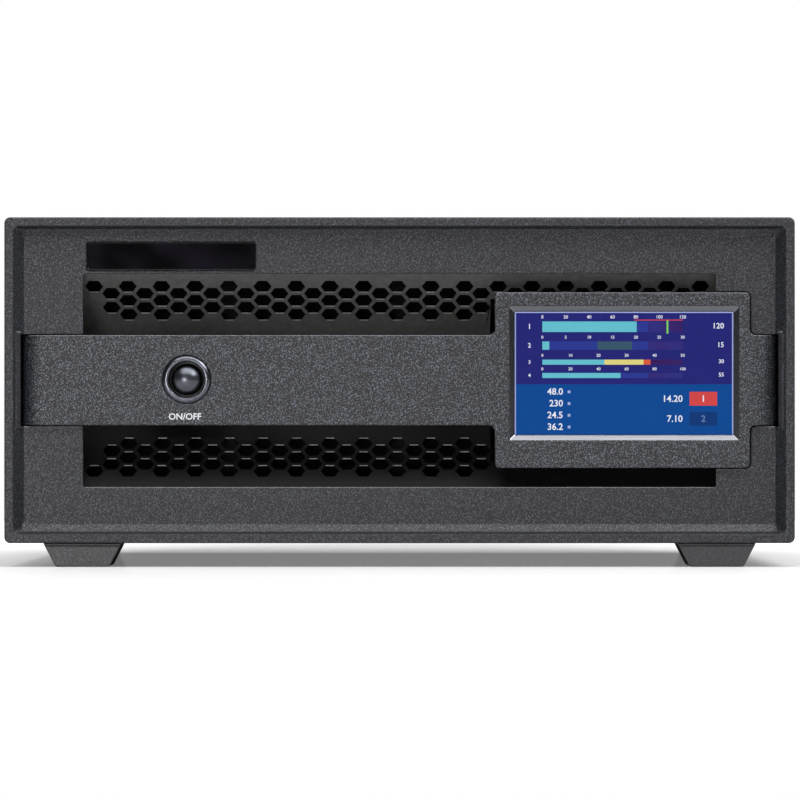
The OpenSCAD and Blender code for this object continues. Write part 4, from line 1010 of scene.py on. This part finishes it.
# the inner panel behind the intakes gets the near-black primer, as painted shade behind the holes
special = {
    "rear_screws": blackSteel, "fan_screws": blackSteel, "fascia_posts": blackSteel,
    "display_carrier": blackSteel, "fan_frame_left": fanPlastic, "fan_frame_right": fanPlastic,
    "front_subpanel": innerPrimerPaintedShade, "internal_cables": cableSkin, "inlet_pins": nickelPlate,
}
for width, segments, nodes in eased:
    for node in nodes:
        piece = finishEdges(copyNode(node, node + "_shape"), width, segments)
        standFor(piece, node, special.get(node) or finishOf[slotOf[node]])
print("plain pieces ready")


# Stage, light and camera

def addSoftbox(name, spot, target, width, height, watts):
    startFresh()
    bpy.ops.object.light_add(type="AREA", location=spot)
    lamp = bpy.context.object
    lamp.name = name
    lamp.data.shape, lamp.data.size, lamp.data.size_y, lamp.data.energy = "RECTANGLE", width, height, watts
    lamp.visible_camera = False
    lamp.rotation_euler = (Vector(target) - lamp.location).to_track_quat("-Z", "Y").to_euler()


# Place, aim, width, height and watts
lamps = {
    "key_softbox": ((-0.55, -1.9, 0.07), (0, -0.2, 0.07), 0.5, 0.12, 7),
    "overhead_softbox": ((0, -0.75, 1.35), (0, -0.2, 0.05), 1.8, 1.2, 20),
    "upper_right_softbox": ((0.95, -0.85, 1.05), (-0.05, -0.2, 0.08), 0.6, 0.5, 8),
    "left_softbox": ((-1.6, 0.4, 0.8), (0, 0, 0.08), 1.0, 1.0, 7),
    "right_softbox": ((1.6, 0.4, 0.8), (0, 0, 0.08), 1.0, 1.0, 6),
    "back_softbox": ((0.3, 2.2, 1.1), (0, 0.1, 0.08), 1.6, 1.0, 6),
}
for name, settings in lamps.items():
    addSoftbox(name, *settings)

# In metres: the floor's mirror fades out between the reaches, and its white comes up between the distances
floor = {
    "size": 3.6, "centreY": -0.3, "under": -0.0001, "colour": "#d6d6d6", "mirror": 0.12, "reach": (0.2, 0.6),
    "lift": 0.17, "flatten": (1, 0.25, 0), "from": (0, -0.05, 0), "distance": (0.155, 0.32),
}


def makeFloor():
    f = floor
    startFresh()
    bpy.ops.mesh.primitive_plane_add(size=f["size"], location=(0, f["centreY"], f["under"]))
    ground = place("studio_floor")
    finish, tree, shader = newFinish("white_acrylic_sheet", {})
    seen = addNode(tree, "LightPath")
    shown = addNode(tree, "Math", {"operation": "MAXIMUM"},
            {0: (seen, "Is Camera Ray"), 1: (seen, "Is Transmission Ray")})
    spot = addNode(tree, "TexCoord")
    reach = addNode(tree, "VectorMath", {"operation": "LENGTH"}, {0: (spot, "Object")})
    near = addNode(tree, "MapRange", {
        "From Min": f["reach"][0], "From Max": f["reach"][1], "To Min": f["mirror"], "To Max": 0.0},
        {"Value": (reach, "Value")})
    wide = addNode(tree, "VectorMath", {"operation": "MULTIPLY", 1: f["flatten"]}, {0: (spot, "Object")})
    apart = addNode(tree, "VectorMath", {"operation": "DISTANCE", 1: f["from"]}, {0: (wide, "Vector")})
    far = addNode(tree, "MapRange", {
        "From Min": f["distance"][0], "From Max": f["distance"][1], "To Min": f["lift"], "To Max": 1.0},
        {"Value": (apart, "Value")})
    glow = addNode(tree, "Emission", {"Color": (1, 1, 1, 1)}, {"Strength": (far, "Result")})
    dark = addNode(tree, "Emission", {"Color": (0, 0, 0, 1)})
    lift = addNode(tree, "MixShader", {},
            {0: (shown, "Value"), 1: (dark, "Emission"), 2: (glow, "Emission")})
    matt = addNode(tree, "BsdfDiffuse", {"Color": linear(f["colour"])})
    both = addNode(tree, "AddShader", {}, {0: (matt, "BSDF"), 1: (lift, "Shader")})
    mirror = addNode(tree, "BsdfGlossy", {"Color": (1, 1, 1, 1), "Roughness": 0.03})
    amount = addNode(tree, "Math", {"operation": "MULTIPLY"},
            {0: (near, "Result"), 1: (seen, "Is Camera Ray")})
    mixed = addNode(tree, "MixShader", {},
            {0: (amount, "Value"), 1: (both, "Shader"), 2: (mirror, "BSDF")})
    connect(tree, tree.nodes["Material Output"], {"Surface": (mixed, "Shader")})
    tree.nodes.remove(shader)
    paint(ground, finish)


# The room: white to the eye; gloss and glass see it half white behind the object, and dim elsewhere
room = {"behind": 0.5, "from": 0.1, "full": 0.5, "gloss": 0.05, "fill": 0.2}


def makeWorld():
    world = bpy.data.worlds.new("studio")
    bpy.context.scene.world = world
    world.use_nodes = True
    tree = world.node_tree
    tree.nodes.clear()
    seen = addNode(tree, "LightPath")
    spot = addNode(tree, "TexCoord")
    parts = addNode(tree, "SeparateXYZ", {}, {"Vector": (spot, "Generated")})
    behind = addNode(tree, "MapRange", {"From Min": room["from"], "From Max": room["full"],
            "To Max": room["behind"]}, {"Value": (parts, "Y")})
    sharp = addNode(tree, "Math", {"operation": "MAXIMUM"},
            {0: (seen, "Is Glossy Ray"), 1: (seen, "Is Transmission Ray")})
    shine = addNode(tree, "Math", {"operation": "MULTIPLY"}, {0: (sharp, "Value"), 1: (behind, "Result")})
    white = addNode(tree, "Math", {"operation": "MAXIMUM"},
            {0: (seen, "Is Camera Ray"), 1: (shine, "Value")})
    ambient = addNode(tree, "MapRange", {"To Min": room["gloss"], "To Max": room["fill"]},
            {"Value": (seen, "Is Diffuse Ray")})
    dim = addNode(tree, "Background", {"Color": (1, 1, 1, 1)}, {"Strength": (ambient, "Result")})
    full = addNode(tree, "Background", {"Color": (1, 1, 1, 1), "Strength": 1.0})
    mixed = addNode(tree, "MixShader", {},
            {0: (white, "Value"), 1: (dim, "Background"), 2: (full, "Background")})
    addNode(tree, "OutputWorld", {}, {"Surface": (mixed, "Shader")})


# Straight ahead of the front, a hand's breadth up, looking up by 17.3 mm in 3 m
view = {
    "spot": (0.0002, -3.2, 0.055), "up": 0.0173, "distance": 3.0, "lens": 311.3, "sensor": 36, "farthest": 60,
}


def addCamera():
    startFresh()
    bpy.ops.object.camera_add(location=view["spot"])
    camera = bpy.context.object
    camera.rotation_euler = (math.pi / 2 + math.atan2(view["up"], view["distance"]), 0, 0)
    camera.data.lens = view["lens"]
    camera.data.sensor_width = view["sensor"]
    camera.data.clip_end = view["farthest"]
    bpy.context.scene.camera = camera


makeFloor()
makeWorld()
addCamera()
bpy.context.scene.view_settings.view_transform = "Standard"
print("stage ready")
